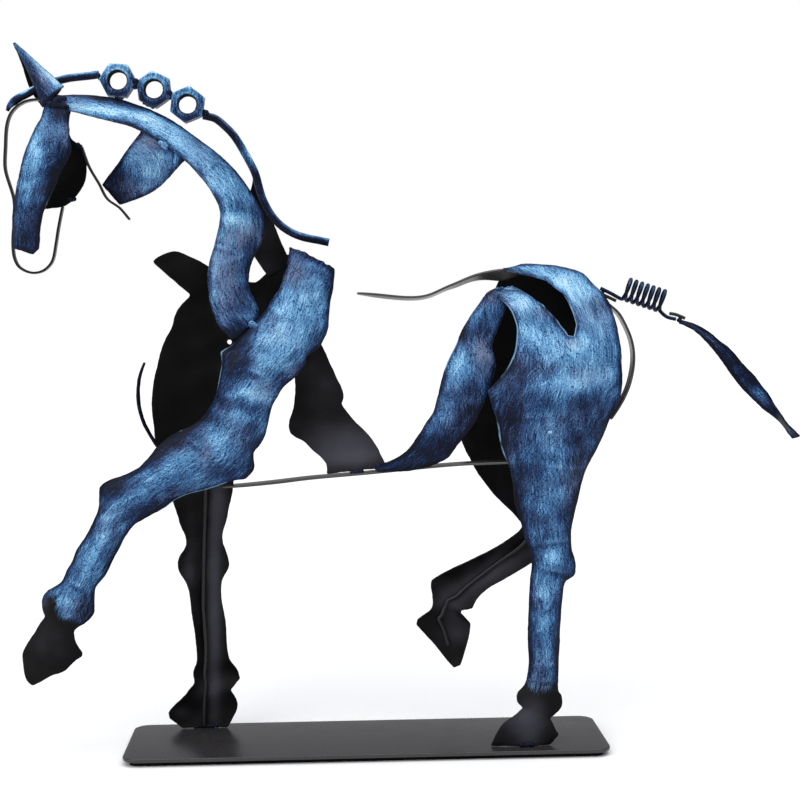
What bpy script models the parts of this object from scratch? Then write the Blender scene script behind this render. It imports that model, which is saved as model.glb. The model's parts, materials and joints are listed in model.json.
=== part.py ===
"""Metal horse sculpture: a walking horse of cut and bent steel sheet, strap and rod on a flat plate.

The horse walks toward -X and shows its near side to -Y. The origin is the middle of the underside.
Sizes below are millimetres. Each sheet is drawn in side view by its two long edges, with X measured
from the middle of the plate and Z from the plate's top face.
"""
import math
from dataclasses import dataclass

import bmesh
import bpy
from mathutils import Matrix, Vector

MM = 0.001

# The figure keeps its pose as drawn, and grows or shrinks with its height over the plate.
HORSE_HEIGHT = 354.0
DRAWN_HEIGHT = 354.0

# Stock that the maker cut and bent
SHEET = 1.0
STRAP = 1.2
STRAP_WIDTH = 8.0
FACE_STRIP = 1.2
FACE_STRIP_WIDTH = 4.4
MANE_ROD = 4.0
LEG_ROD = 2.2
TAIL_WIRE = 1.7

# Hex nuts of the mane, M10
NUT_FLATS = 16.0
NUT_BORE = 9.2
NUT_THICKNESS = 8.4
NUT_CHAMFER = 0.8
NUT_LINKS = (1.5, 0.6)
NUT_LINK_WIDTH = 3.0
NUT_LINK_ROOT = 2.4

# Tail spring
SPRING_OUTER = 12.7
SPRING_PITCH = 3.1
SPRING_TURNS = 7
SPRING_STEPS = 9

# Ears, from thinner sheet
EAR_SHEET = 0.8

# Base
PLATE = 2.0
PAD = 2.0
PAD_INSET = 3.4
PLATE_CORNER = 8.0
PLATE_EDGE = 0.6
TOE_MARGIN = 18.3
HEEL_MARGIN = 25.8
SIDE_MARGIN = 8.0

# Round hole at the far shoulder
HOLE = 2.4
HOLE_SIDES = 8
HOLE_CENTRE = (-69.0, 204.0)
# How far a cut through a side sheet reaches from the middle plane
CUT_REACH = 40.0
# A rod touches the bowed sheet under it only here and there
ROD_GAP = 0.5
# Points over which the ground end of a rod reaches its full radius
GROUND_POINTS = 4
GROUND_TIP = 0.4
GAP = 0.3

FIGURE = HORSE_HEIGHT / DRAWN_HEIGHT
PLATE_TOP = PAD + GAP + PLATE

# Drawn ends of the two standing hooves, and their distance from the middle plane
TOE_X = -104.0
HEEL_X = 96.5
HOOF_Y = 25.0
PLATE_LENGTH = (HEEL_X - TOE_X) * FIGURE + TOE_MARGIN + HEEL_MARGIN
PLATE_DEPTH = 2 * (HOOF_Y * FIGURE + SIDE_MARGIN)
SHIFT = (HEEL_MARGIN - TOE_MARGIN + (HEEL_X + TOE_X) * FIGURE) / 2


def place(x, y, z):
    """A drawn point as a world point in metres."""
    return Vector((x * FIGURE - SHIFT, y * FIGURE, z * FIGURE + PLATE_TOP + GAP)) * MM


def real(length):
    """A real length in drawn millimetres, for offsets that don't grow with the figure."""
    return length / FIGURE


def mix(a, b, t):
    """The point that lies the share t of the way from a to b."""
    return tuple(p + (q - p) * t for p, q in zip(a, b))


def across(middle, share=1.0):
    """The depths at one place of a strap: y of its two edges, for the share of its width that is
    laid along Y there, and no bow."""
    half = real(STRAP_WIDTH) / 2 * share
    return middle - half, middle + half, 0


def curve_point(points, u):
    """A point on the smooth curve through the points, where u counts the points from 0."""
    last = len(points) - 1
    u = min(max(u, 0.0), last)
    k = min(int(u), last - 1)
    t = u - k
    p1, p2 = points[k], points[k + 1]
    p0 = points[k - 1] if k else mix(p1, p2, -1)
    p3 = points[k + 2] if k + 2 <= last else mix(p1, p2, 2)
    d0, d1, d2 = (max(math.dist(a, b), 1e-6) for a, b in ((p0, p1), (p1, p2), (p2, p3)))
    out = []
    for a, b, c, d in zip(p0, p1, p2, p3):
        slope_1 = ((b - a) / d0 * d1 + (c - b) / d1 * d0) / (d0 + d1) * d1
        slope_2 = ((c - b) / d1 * d2 + (d - c) / d2 * d1) / (d1 + d2) * d1
        out.append(b * (2 * t ** 3 - 3 * t ** 2 + 1) + slope_1 * (t ** 3 - 2 * t ** 2 + t)
                   + c * (3 * t ** 2 - 2 * t ** 3) + slope_2 * (t ** 3 - t ** 2))
    return tuple(out)


@dataclass(frozen=True)
class Sheet:
    """A cut and bent sheet.

    front and rear are its long edges in side view. Each is a list of stretches, such as forearm
    and knee, and the last point of a stretch is where the next one begins. bends has the depths at
    the ends of the stretches: y of the front edge, y of the rear edge, and how far the middle bows
    out between them. top is the cut line across the first end, where it isn't straight.
    """
    front: tuple
    rear: tuple
    bends: tuple
    top: tuple = ()

    def edge(self, stretches, u):
        """A point in side view on one long edge, where u counts the stretches."""
        k = min(int(u), len(self.bends) - 2)
        points = [p for stretch in stretches for p in stretch]
        ends = [0]
        for stretch in stretches:
            ends.append(ends[-1] + len(stretch))
        ends = [0] + [end - 1 for end in ends[1:]]
        return curve_point(points, ends[k] + (ends[k + 1] - ends[k]) * (u - k))

    def point(self, u, v):
        """The drawn point at u stretches down the sheet and the share v across it."""
        front, rear = self.edge(self.front, u), self.edge(self.rear, u)
        x, z = mix(front, rear, v)
        if self.top and u < 1:
            straight = mix(self.edge(self.front, 0), self.edge(self.rear, 0), v)
            cut = curve_point(self.top, v * (len(self.top) - 1))
            fade = (1 - u) ** 2
            x += (cut[0] - straight[0]) * fade
            z += (cut[1] - straight[1]) * fade
        y_front, y_rear, bow = curve_point(self.bends, u)
        side = 4 * v * (1 - v)
        return x, y_front + (y_rear - y_front) * v + bow * side, z

    def normal(self, u, v):
        """The unit normal at a point, toward +Y."""
        step = 0.01
        u = min(max(u, step), len(self.bends) - 1 - step)
        along = Vector(self.point(u + step, v)) - Vector(self.point(u - step, v))
        sideways = (Vector(self.point(u, min(v + step, 1)))
                    - Vector(self.point(u, max(v - step, 0))))
        normal = along.cross(sideways).normalized()
        return normal if normal.y > 0 else -normal


# The croup sheets' top edges lie beside the spine strap, clear of it by the gap
CROUP_Y = real(STRAP_WIDTH / 2 + GAP + SHEET / 2)

NEAR_FORELEG = Sheet(
    front=(((-36, 252), (-37, 244), (-40, 233.5), (-45, 224.5), (-51.5, 217.5), (-58.5, 209),
            (-66, 204.5), (-70.5, 200)),
           ((-70.5, 195), (-71.5, 186.5), (-73.5, 177.5), (-78.5, 170), (-86, 163)),
           ((-93.5, 160.5), (-97.5, 158), (-102.5, 152.5), (-109.5, 146), (-115.5, 140.5)),
           ((-127, 137.5), (-131.5, 132.5), (-132, 124.5), (-134, 118)),
           ((-140, 107.5), (-147, 95.5), (-151, 86.5)),
           ((-159.5, 81.5), (-161, 75.5), (-159.5, 69)),
           ((-162, 63), (-169, 58.5), (-171, 52), (-170.5, 43.5), (-169, 36.5), (-166, 35))),
    rear=(((-13.5, 241), (-14.5, 233.5), (-16.5, 222), (-18, 209), (-20, 202.5), (-25.5, 197.5),
           (-30, 191), (-36, 185.5)),
          ((-42.5, 181), (-45.5, 176), (-47.5, 166.5), (-49, 158), (-52, 152.5), (-55.5, 148),
           (-56, 142), (-59.5, 137.5)),
          ((-65, 136.5), (-73, 134), (-80, 131.5), (-89.5, 129.5), (-95, 127), (-102, 122.5)),
          ((-111, 117.5), (-115, 114.5), (-120.5, 107)),
          ((-126.5, 96), (-133, 86), (-135.5, 81.5)),
          ((-135, 74), (-137, 68.5), (-145, 63.5)),
          ((-146, 60.5), (-144.5, 55.5), (-142, 50.5), (-142, 48.5))),
    bends=((-17, -16, -5), (-20, -20, -7), (-21, -21, -6), (-21, -21, -5), (-21, -21, -4.5),
           (-21, -21, -4), (-21, -21, -4), (-21, -21, -3)))

FAR_FORELEG = Sheet(
    front=(((-108, 246), (-96, 235.5), (-88, 228.5), (-96.5, 219.5), (-98, 212)),
           ((-103, 204), (-106, 193.5), (-108.5, 182.5), (-109.5, 170.5)),
           ((-108.5, 158), (-107, 148.5), (-103.5, 134), (-99.5, 121)),
           ((-93.5, 96),),
           ((-97, 91), (-97.5, 85), (-92.5, 77)),
           ((-90.5, 58.5), (-88.5, 45), (-88.5, 36)),
           ((-90.5, 30), (-90, 24)),
           ((-95, 18), (-104, 9), (-103.5, 5.5), (-97, 0))),
    rear=(((-18, 243), (-20, 225), (-23, 208), (-30, 195)),
          ((-38, 186), (-45, 178), (-49, 168)),
          ((-54, 157), (-61, 145), (-67, 135), (-68, 127)),
          ((-74.5, 98),),
          ((-71.5, 91.5), (-71, 86.5), (-75, 79)),
          ((-74, 58), (-71.5, 36.5)),
          ((-66.5, 26.5), (-71, 20)),
          ((-67.5, 13), (-68.5, 8.5), (-73, 0))),
    bends=((17, 16, 4), (20, 20, 6), (21, 21, 6), (21, 21, 5), (21.5, 21.5, 4), (21.5, 21.5, 4),
           (22, 22, 3.5), (22.5, 22.5, 3), (23.5, 23.5, 2)),
    top=((-108, 246), (-102.5, 250), (-92, 251), (-79.5, 244.5), (-68, 237), (-58, 233.5),
         (-50.5, 236), (-40, 249.5), (-30, 250), (-18, 243)))

NEAR_HINDLEG = Sheet(
    front=(((71.5, 240.5), (67.5, 226.5)),
           ((73, 221), (76.5, 213), (76.5, 201.5)),
           ((74, 194), (67.5, 185), (62, 179.5)),
           ((63, 174.5), (67, 163), (68.5, 150)),
           ((74.5, 136), (74.5, 124.5), (77.5, 116), (80, 104.5)),
           ((83, 98.5), (82.5, 82)),
           ((81.5, 57.5), (80.5, 31)),
           ((76, 27), (75.5, 22), (78.5, 19)),
           ((74, 14.5), (68, 11), (65, 6), (62, 0))),
    rear=(((82.5, 242.5), (97, 242), (106, 239.5), (112, 237), (118, 231.5)),
          ((124, 225), (127, 216), (129, 204.5)),
          ((130, 189), (129.5, 178.5)),
          ((127, 170), (123.5, 164.5), (118, 153)),
          ((112, 141.5), (108.5, 129.5), (105.5, 117), (103, 103.5)),
          ((105.5, 92), (104.5, 87), (100.5, 83)),
          ((99, 76.5), (98, 57.5), (96.5, 29)),
          ((98.5, 23), (97.5, 18)),
          ((92.5, 14), (92.5, 11), (96, 8.5), (96.5, 3.5), (92, 0))),
    bends=((-CROUP_Y - 2, -CROUP_Y, -1), (-13, -CROUP_Y - 0.5, -5), (-18, -16, -8), (-20, -19, -8),
           (-20, -19, -7.5), (-21, -20, -5), (-21, -21, -4), (-21.5, -21.5, -3.5), (-22, -22, -3),
           (-23.5, -23.5, -2)))

FAR_HINDLEG = Sheet(
    front=(((73, 240), (67, 225)),
           ((61, 213), (56, 200)),
           ((52, 186), (50, 172)),
           ((50.5, 160), (52, 151)),
           ((56, 141.5), (60, 135), (67, 124.5), (76.5, 113.5), (82.5, 109.5), (84.5, 106)),
           ((81, 101.5), (72.5, 95.5)),
           ((53, 86), (37.5, 78)),
           ((35.5, 76.5), (35.5, 72.5), (36.5, 65.5)),
           ((35, 60.5), (28.5, 57), (27.5, 53.5))),
    rear=(((84, 241.3), (97, 240.8), (106, 238.3), (112, 235.5), (117, 230)),
          ((122, 222), (125, 213), (127, 203)),
          ((128, 189), (127, 178)),
          ((124, 168), (119, 158), (115, 150)),
          ((111, 138), (107, 125), (105, 112), (106, 102)),
          ((103, 96), (95, 90)),
          ((88.5, 85), (74, 77), (63, 70.5), (59, 65)),
          ((56.5, 61), (51.5, 61), (51, 59)),
          ((55.5, 54.5), (56, 50), (51, 31.5), (47, 30))),
    bends=((CROUP_Y + 2, CROUP_Y, 1), (13, CROUP_Y + 0.5, 5), (18, 16, 8), (20, 19, 8), (20, 19, 7),
           (21, 20, 5), (21, 21, 4), (21, 21, 4), (21, 21, 3.5), (21, 21, 3)))

NEAR_FLANK = Sheet(
    front=(((68, 230.8), (64, 228.8), (61.5, 226.7), (58.8, 223), (55.6, 218.7), (50.5, 211.2),
            (46.8, 202.3)),
           ((41.8, 193), (38.8, 183.3), (35.4, 169)),
           ((27, 156.2), (20.5, 148.4)),
           ((11, 143), (4, 140.8))),
    rear=(((76, 230), (72.5, 222), (70, 215), (67.5, 209), (64.5, 201.5)),
          ((66.5, 194), (66, 189), (61.5, 176.5)),
          ((56, 164), (48.5, 153.5), (40, 145)),
          ((30.5, 140), (7, 138))),
    bends=((-9.4, -10, -0.8), (-14, -14, -3), (-16, -16, -3), (-13.5, -13.5, -1.5),
           (-5.9, -5.9, -0.3)))

FAR_RIB = Sheet(
    front=(((-42, 203), (-36, 192), (-35, 184)),
           ((-35, 176), (-36.5, 167), (-38, 161.5), (-36, 155.5)),
           ((-28, 151), (-22, 144.5), (-19, 141), (-19, 136.3))),
    rear=(((-24, 208), (-20.5, 201.5), (-16, 191.5)),
          ((-12.5, 183), (-10, 178), (-10, 174), (-11, 171.5)),
          ((-3, 161.5), (5.5, 152.5), (8, 147.5), (12, 139.4))),
    bends=((17.35, 17.35, 0.6), (17, 17, 1), (15, 15, 1.5), (3, 1, 0.5)))

NECK = Sheet(
    front=(((-147, 320.5), (-132.5, 317.5), (-118.5, 314)),
           ((-109, 309.5), (-97, 302.5)),
           ((-87.5, 295), (-78, 284.5)),
           ((-72.5, 275.5), (-70.5, 270), (-71, 263)),
           ((-73, 257), (-76, 249), (-77, 239.5)),
           ((-76.5, 229), (-74.5, 219.5)),
           ((-71, 212), (-65, 206))),
    rear=(((-152, 328), (-140, 328), (-125.5, 327.5), (-111.5, 323.5)),
          ((-96.5, 317), (-83.5, 308)),
          ((-69, 296.5), (-59.5, 286)),
          ((-52.5, 274.5), (-50, 270), (-48.5, 262.5)),
          ((-50.5, 254.5), (-55, 246), (-57, 237.5)),
          ((-56, 230), (-52.5, 222.5)),
          ((-52, 217), (-55.5, 211))),
    bends=((-8.5, -6.4, -0.8), (-11, -2, -2), (-12, -2, -2), (-13, -3, -2.5), (-14, -4, -3),
           (-15.5, -9, -3), (-17.2, -14.2, -2), (-17.8, -17.2, -0.4)))

THROAT_PLATE = Sheet(
    front=(((-108, 313), (-110.2, 308.5)),
           ((-118.4, 299.3), (-131, 284.8))),
    rear=(((-86, 297.5), (-88.3, 294.6)),
          ((-94.6, 288.5), (-101.4, 282.6), (-122.2, 274.3))),
    bends=((-8.9, -8.9, -0.3), (-8.9, -9, -0.5), (7, 7, -0.5)))

FAR_NECK_PLATE = Sheet(
    front=(((-54.6, 290), (-56, 280), (-60, 268), (-60, 257), (-55, 248.5), (-48.5, 238)),),
    rear=(((-53.4, 290), (-50.6, 280), (-46.6, 270), (-43, 260), (-38.5, 250), (-36.5, 244)),),
    bends=((3.3, 3.3, 0), (18.4, 17.3, 0.2)))

NEAR_CHEEK = Sheet(
    front=(((-156.8, 323.5), (-158.4, 317.6), (-161.1, 313.2)),
           ((-165, 305.5), (-168.3, 297), (-170.6, 288.5), (-172.4, 281)),
           ((-173.8, 273.5), (-174.5, 264), (-174.5, 252.5))),
    rear=(((-144.5, 322.4), (-144, 308.5), (-143.5, 304.5)),
          ((-143, 300), (-146.5, 293.5), (-150.5, 286), (-153.5, 278.5)),
          ((-157, 271.5), (-159, 264.5), (-160.5, 252), (-163.5, 249.5))),
    bends=((-5, -11.2, -1), (-6, -12, -2.5), (-3.1, -12, -2.5), (-3.1, -10, -1.5)))

FAR_CHEEK = Sheet(
    front=(((-157.8, 323.4), (-160, 317), (-162.5, 308)),
           ((-166, 298), (-168, 286), (-168, 272))),
    rear=(((-146, 323), (-147, 308.5), (-144, 306), (-140.5, 301.5)),
          ((-139, 293.5), (-140, 286.5), (-144.5, 279), (-151.5, 273.5))),
    bends=((5, 10.4, 1), (5, 11, 3), (3.7, 9, 2)))

NEAR_EAR = Sheet(
    front=(((-172.2, 354.6), (-165.2, 339.8), (-162.7, 333.7), (-158.1, 322.9)),),
    rear=(((-171.4, 354.8), (-163.6, 347.5), (-155.5, 340.1), (-147.4, 332.6)),),
    bends=((-1.5, -1.5, -0.3), (-3, -3, -5)))

FAR_EAR = Sheet(
    front=(((-173, 354.4), (-170.4, 349), (-168, 341.2), (-165.7, 333.6), (-163.6, 329.4),
            (-159.3, 323)),),
    rear=(((-172.2, 354.6), (-164.7, 347.3), (-157.1, 340), (-149.5, 332.8)),),
    bends=((1.5, 1.5, 0.3), (3, 3, 5)))

SPINE_STRAP = Sheet(
    front=(((-2.5, 228.7), (7, 228.2), (20, 226.7), (29, 226.7), (35.5, 228.2), (42, 231.2)),
           ((49.5, 234.2), (56.5, 237.2), (66, 239.5), (74, 240.4)),
           ((84, 241.6), (97, 241.2), (108, 237.6), (118.6, 229.5)),
           ((122.1, 225.7), (125.6, 222.2), (130.2, 218.3), (132.9, 214.4), (135.9, 208.3)),
           ((138, 201.2), (138.5, 194.4), (137.4, 186.1)),
           ((134.6, 178.8), (130.4, 171.7), (124.4, 164))),
    rear=(((-2.5, 228.5), (7, 226.8), (20, 225.3), (29, 225.3), (36, 226.8), (42.5, 229.8)),
          ((49.5, 231.8), (55.5, 234.3), (64, 235.2), (73, 234.6)),
          ((84, 239), (97, 240.6), (108, 237.2), (118.3, 229.2)),
          ((121.8, 225.4), (125.3, 221.9), (129.9, 218), (132.6, 214.2), (135.6, 208.2)),
          ((137.7, 201.2), (138.2, 194.4), (137.1, 186.2)),
          ((134.3, 179), (130.1, 171.9), (124.1, 164.2))),
    bends=(across(0, 0.38), across(0, 0.9), across(0, 0.8), across(0), across(-0.6), across(-3.5),
           across(-14.2)))

BELLY_STRAP = Sheet(
    front=(((-66.6, 130.6), (-48, 132.3), (-30, 133.8)), ((-13, 135.2), (14, 138)),
           ((41.5, 140.9), (60, 142.2), (76, 143))),
    rear=(((-66.6, 131), (-48, 132.7), (-30, 134.2)), ((-13, 135.6), (14, 138.4)),
          ((41.5, 141.3), (60, 142.6), (76, 143.4))),
    bends=(across(20.5), across(10.5), across(-2), across(-16.5)))

CHEST_STRIP = Sheet(
    front=(((-109, 195.2), (-111.5, 188.6), (-112.5, 181.2), (-112, 173.3)),
           ((-109.2, 163.9), (-105.8, 157.5), (-102.2, 152.2))),
    rear=(((-108.6, 195.2), (-111, 188.6), (-112, 181.2), (-111.5, 173.3)),
          ((-108.7, 163.9), (-105.3, 157.5), (-101.7, 152))),
    bends=((-17, -14, 0), (-19.6, -14, 0), (-20.1, -15, 0)))

TAIL_LEAF = Sheet(
    front=(((162.6, 211.9), (166, 210.9), (169.5, 208.8), (175.8, 203.6), (181.8, 195.8)),
           ((187, 189), (194, 180), (201, 172.5)),
           ((208.5, 166), (215, 161.5), (217.3, 159.5)),
           ((220, 155.5), (223, 151.5))),
    rear=(((162.8, 213.3), (167.4, 212.7), (173.2, 210.4), (181.8, 204.6), (189.3, 197.8)),
          ((196, 191), (202.5, 184.5), (207.5, 178.5)),
          ((212.5, 171), (215.5, 164.5), (217.8, 160.2)),
          ((221, 157), (225.5, 153))),
    bends=((-1, 1, 0), (-1.5, 2, 1), (-1, 3, 1), (3.6, -3.6, 0), (2, -2.5, 0)))

# Crescent cut between the croup and the thigh of the near hind leg
CRESCENT = ((60, 240.9), (72, 239.5), (84, 236.5), (92.5, 234), (100.5, 227.5), (104.5, 219),
            (106, 211.5), (105, 206), (102, 206.5), (96.5, 214.5), (90, 222), (82.5, 227.5),
            (77, 231), (71.5, 230.6), (67.5, 226.5), (60, 226.5))

# Paths of the edge-on strips: x, y and z of their middle line
FACE_PATH = ((-159, 0, 326.8), (-163.5, 0, 326.5), (-167.2, 0, 325.7), (-171.5, 0, 323.2),
             (-174.4, 0, 320), (-176, 0, 316.5), (-177, 0, 312), (-177.6, 0, 303.6),
             (-178, 0, 291.7), (-174.4, 0, 279), (-173.8, 0, 273.3), (-174.6, 0, 261.8),
             (-174.9, 0, 250.6), (-172.9, 0, 244.2), (-169.1, 0, 241.3), (-164.7, 0.5, 240.3),
             (-159.9, 1.5, 241.7), (-156.2, 3, 246), (-154.7, 4, 252.5), (-153.2, 5, 262),
             (-150.8, 5.9, 273.8))
THROAT_PATH = ((-141, 7.6, 304), (-137.5, 7.6, 294), (-132.5, 7.6, 285), (-128.5, 7.6, 277.5),
               (-122.5, 7.6, 273), (-117.5, 7.6, 267))
MANE_FRONT_PATH = ((-176.4, 321.1), (-175.3, 323.5), (-173.1, 325.8), (-170.3, 327.7), (-167, 329.3),
                   (-163.4, 331.2), (-157.5, 333.9), (-152, 335.7), (-146, 337.2), (-140.6, 337.9),
                   (-135.6, 338.4))
MANE_REAR_PATH = ((-73, 317), (-68.5, 313.5), (-64, 308.8), (-61, 304.3), (-58, 299), (-55.5, 294.3),
                  (-53.5, 290), (-52.2, 285.7), (-51.2, 281.5), (-50, 277.5), (-48.3, 273.5),
                  (-46.2, 269.7), (-43.5, 266), (-39.5, 262.3), (-34.5, 259.2), (-28.5, 257),
                  (-22.5, 255.8), (-16.5, 254.5))
# The rear rod starts in line with the nuts and then leans over to the far side
MANE_REAR_Y = 0.5
MANE_REAR_LEAN_POINTS = 9
MANE_REAR_COURSE = -35.0
# The front rod meets the first nut above its centre
MANE_FRONT_RISE = 3.2
FIRST_NUT_X = -121.0
FIRST_NUT_U = 0.66
NUT_TURNS = (-3.5, 35.0, 22.0)
NUT_COURSES = (-14.0, -24.5)

# Rods inside the far legs: how far down the leg sheet, and the share across it
FORELEG_ROD_RUN = ((2.9, 0.56), (3.2, 0.53), (3.6, 0.52), (4, 0.51), (4.5, 0.51), (5, 0.45),
                   (5.25, 0.36), (5.5, 0.29), (5.75, 0.25), (6, 0.22), (6.5, 0.23), (7, 0.29),
                   (7.4, 0.49), (7.8, 0.54), (7.95, 0.51))
HINDLEG_ROD_RUN = ((5.6, 0.3), (6, 0.41), (6.4, 0.52), (6.8, 0.66), (7, 0.64), (7.3, 0.6),
                   (7.7, 0.56), (8, 0.43), (8.1, 0.34), (8.2, 0.28), (8.35, 0.26), (8.5, 0.3),
                   (8.6, 0.47), (8.7, 0.64))

# Tail: ends of the spring's axis line, and of the wires before and after it
SPRING_START = (134.7, 229.8)
SPRING_FALL = 18.6
LEAD_IN = ((122.2, 230.1), (127.3, 227.6))
STEM = ((123, 227.1), (130.2, 223.6))
LEAD_OUT = ((156.6, 215.1), (161.2, 213.9))
TAIL_LINK = ((157.9, 216.9), (161.4, 216.2), (165.9, 214.3))


def collection(name):
    """A new collection in the scene."""
    made = bpy.data.collections.new(name)
    bpy.context.scene.collection.children.link(made)
    return made


def finish(name, colour, roughness, metallic):
    """A Principled material."""
    made = bpy.data.materials.new(name)
    made.use_nodes = True
    shader = made.node_tree.nodes["Principled BSDF"]
    shader.inputs["Base Color"].default_value = (*colour, 1)
    shader.inputs["Roughness"].default_value = roughness
    shader.inputs["Metallic"].default_value = metallic
    made.diffuse_color = (*colour, 1)
    return made


def add_mesh(name, mesh, material, group):
    """An object for a mesh, with its material, in a collection."""
    made = bpy.data.objects.new(name, mesh)
    made.data.materials.append(material)
    group.objects.link(made)
    return made


def bake(source, name):
    """The evaluated curve as a closed mesh of its own, with its loose caps merged."""
    view = bpy.context.evaluated_depsgraph_get()
    mesh = bpy.data.meshes.new_from_object(source.evaluated_get(view))
    mesh.name = name
    work = bmesh.new()
    work.from_mesh(mesh)
    bmesh.ops.remove_doubles(work, verts=work.verts, dist=0.00002)
    work.to_mesh(mesh)
    work.free()
    mesh.transform(source.matrix_world)
    bpy.data.objects.remove(source)
    return mesh


def bent_sheet(name, sheet, rows, columns, thickness, material, group):
    """A grid laid between the two long edges of a sheet, given its thickness by Solidify."""
    work = bmesh.new()
    stretches = len(sheet.bends) - 1
    grid = []
    for i in range(stretches * rows + 1):
        line = []
        for j in range(columns + 1):
            line.append(work.verts.new(place(*sheet.point(i / rows, j / columns))))
        grid.append(line)
    for upper, lower in zip(grid, grid[1:]):
        for j in range(columns):
            work.faces.new((upper[j], upper[j + 1], lower[j + 1], lower[j]))
    mesh = bpy.data.meshes.new(name)
    work.to_mesh(mesh)
    work.free()
    made = add_mesh(name, mesh, material, group)
    wall = made.modifiers.new("wall", "SOLIDIFY")
    wall.thickness = thickness * MM
    wall.offset = 0
    made.data.shade_smooth()
    made.data.set_sharp_from_angle(angle=math.radians(40))
    return made


def cut(made, cutter, operation="DIFFERENCE"):
    """Cut one object out of another, or join it on."""
    knife = made.modifiers.new(cutter.name, "BOOLEAN")
    knife.operation = operation
    knife.object = cutter
    cutter.hide_render = True
    cutter.display_type = "WIRE"


def flat_cutter(name, outline, y_low, y_high, group):
    """A block with the given outline in side view, from y_low to y_high."""
    curve = bpy.data.curves.new(name, "CURVE")
    curve.dimensions = "2D"
    curve.fill_mode = "BOTH"
    curve.extrude = (y_high - y_low) / 2 * FIGURE * MM
    line = curve.splines.new("POLY")
    line.points.add(len(outline) - 1)
    for point, (x, z) in zip(line.points, outline):
        at = place(x, 0, z)
        point.co = (at.x, at.z, 0, 1)
    line.use_cyclic_u = True
    blank = bpy.data.objects.new(name, curve)
    group.objects.link(blank)
    blank.matrix_world = (Matrix.Translation((0, (y_low + y_high) / 2 * FIGURE * MM, 0))
                          @ Matrix.Rotation(math.pi / 2, 4, "X"))
    bpy.context.view_layer.update()
    made = bpy.data.objects.new(name, bake(blank, name))
    group.objects.link(made)
    return made


def smooth_run(points, steps):
    """Points along the smooth curve through a path, with steps to each stretch."""
    count = (len(points) - 1) * steps
    return [curve_point(points, i / steps) for i in range(count + 1)]


def rod(name, points, diameter, material, group, tip=1.0):
    """A round rod along drawn points, as a bevelled curve with filled caps.

    tip is the share of its radius that is left at the first point, where it is ground down."""
    curve = bpy.data.curves.new(name, "CURVE")
    curve.dimensions = "3D"
    curve.bevel_depth = diameter / 2 * MM
    curve.bevel_resolution = 2
    curve.use_fill_caps = True
    line = curve.splines.new("POLY")
    line.points.add(len(points) - 1)
    for i, (point, drawn) in enumerate(zip(line.points, points)):
        point.co = (*place(*drawn), 1)
        point.radius = min(tip + (1 - tip) * i / GROUND_POINTS, 1)
    made = bpy.data.objects.new(name, curve)
    made.data.materials.append(material)
    group.objects.link(made)
    return made


def strip(name, path, width, thickness, steps, material, group):
    """A flat strip seen edge-on, that follows a path and spans its width along Y."""
    run = smooth_run(path, steps)
    half = real(width) / 2
    work = bmesh.new()
    pairs = [(work.verts.new(place(x, y - half, z)), work.verts.new(place(x, y + half, z)))
             for x, y, z in run]
    for (a, b), (c, d) in zip(pairs, pairs[1:]):
        work.faces.new((a, b, d, c))
    mesh = bpy.data.meshes.new(name)
    work.to_mesh(mesh)
    work.free()
    made = add_mesh(name, mesh, material, group)
    wall = made.modifiers.new("wall", "SOLIDIFY")
    wall.thickness = thickness * MM
    wall.offset = 0
    made.data.shade_smooth()
    made.data.set_sharp_from_angle(angle=math.radians(40))
    return made


def slab(name, length, depth, corner, low, high, edge, material, group):
    """A flat plate with rounded corners, and a softened top edge where edge isn't 0."""
    work = bmesh.new()
    bmesh.ops.create_cube(work, size=1)
    bmesh.ops.scale(work, verts=work.verts, vec=Vector((length, depth, high - low)) * MM)
    bmesh.ops.translate(work, verts=work.verts, vec=Vector((0, 0, (high + low) / 2)) * MM)
    upright = [e for e in work.edges if abs(e.verts[0].co.z - e.verts[1].co.z) > MM / 2]
    bmesh.ops.bevel(work, geom=upright, offset=corner * MM, segments=6, profile=0.5,
                    affect="EDGES")
    if edge:
        rim = [e for e in work.edges
               if min(v.co.z for v in e.verts) > (high - edge / 2) * MM and len(e.link_faces) == 2
               and abs(e.link_faces[0].normal.z - e.link_faces[1].normal.z) > 0.5]
        bmesh.ops.bevel(work, geom=rim, offset=edge * MM, segments=2, profile=0.5, affect="EDGES")
    mesh = bpy.data.meshes.new(name)
    work.to_mesh(mesh)
    work.free()
    made = add_mesh(name, mesh, material, group)
    made.data.shade_smooth()
    made.data.set_sharp_from_angle(angle=math.radians(40))
    return made


def nut_reach(turn, course):
    """How far a nut's outline lies from its centre in one direction. Angles are in degrees."""
    off = (course - turn) % 60 - 30
    return NUT_FLATS / 2 / math.cos(math.radians(off))


def nut_centres():
    """The drawn centres of the nuts: the first sits on the crest, the rest follow in a chain."""
    crest = NECK.point(FIRST_NUT_U, 1)
    centres = [(FIRST_NUT_X, crest[2] + real(NUT_FLATS / 2 + GAP))]
    for k, course in enumerate(NUT_COURSES):
        reach = (nut_reach(NUT_TURNS[k], course) + NUT_LINKS[k]
                 + nut_reach(NUT_TURNS[k + 1], course + 180))
        angle = math.radians(course)
        x, z = centres[-1]
        centres.append((x + real(reach) * math.cos(angle), z + real(reach) * math.sin(angle)))
    return centres


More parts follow.
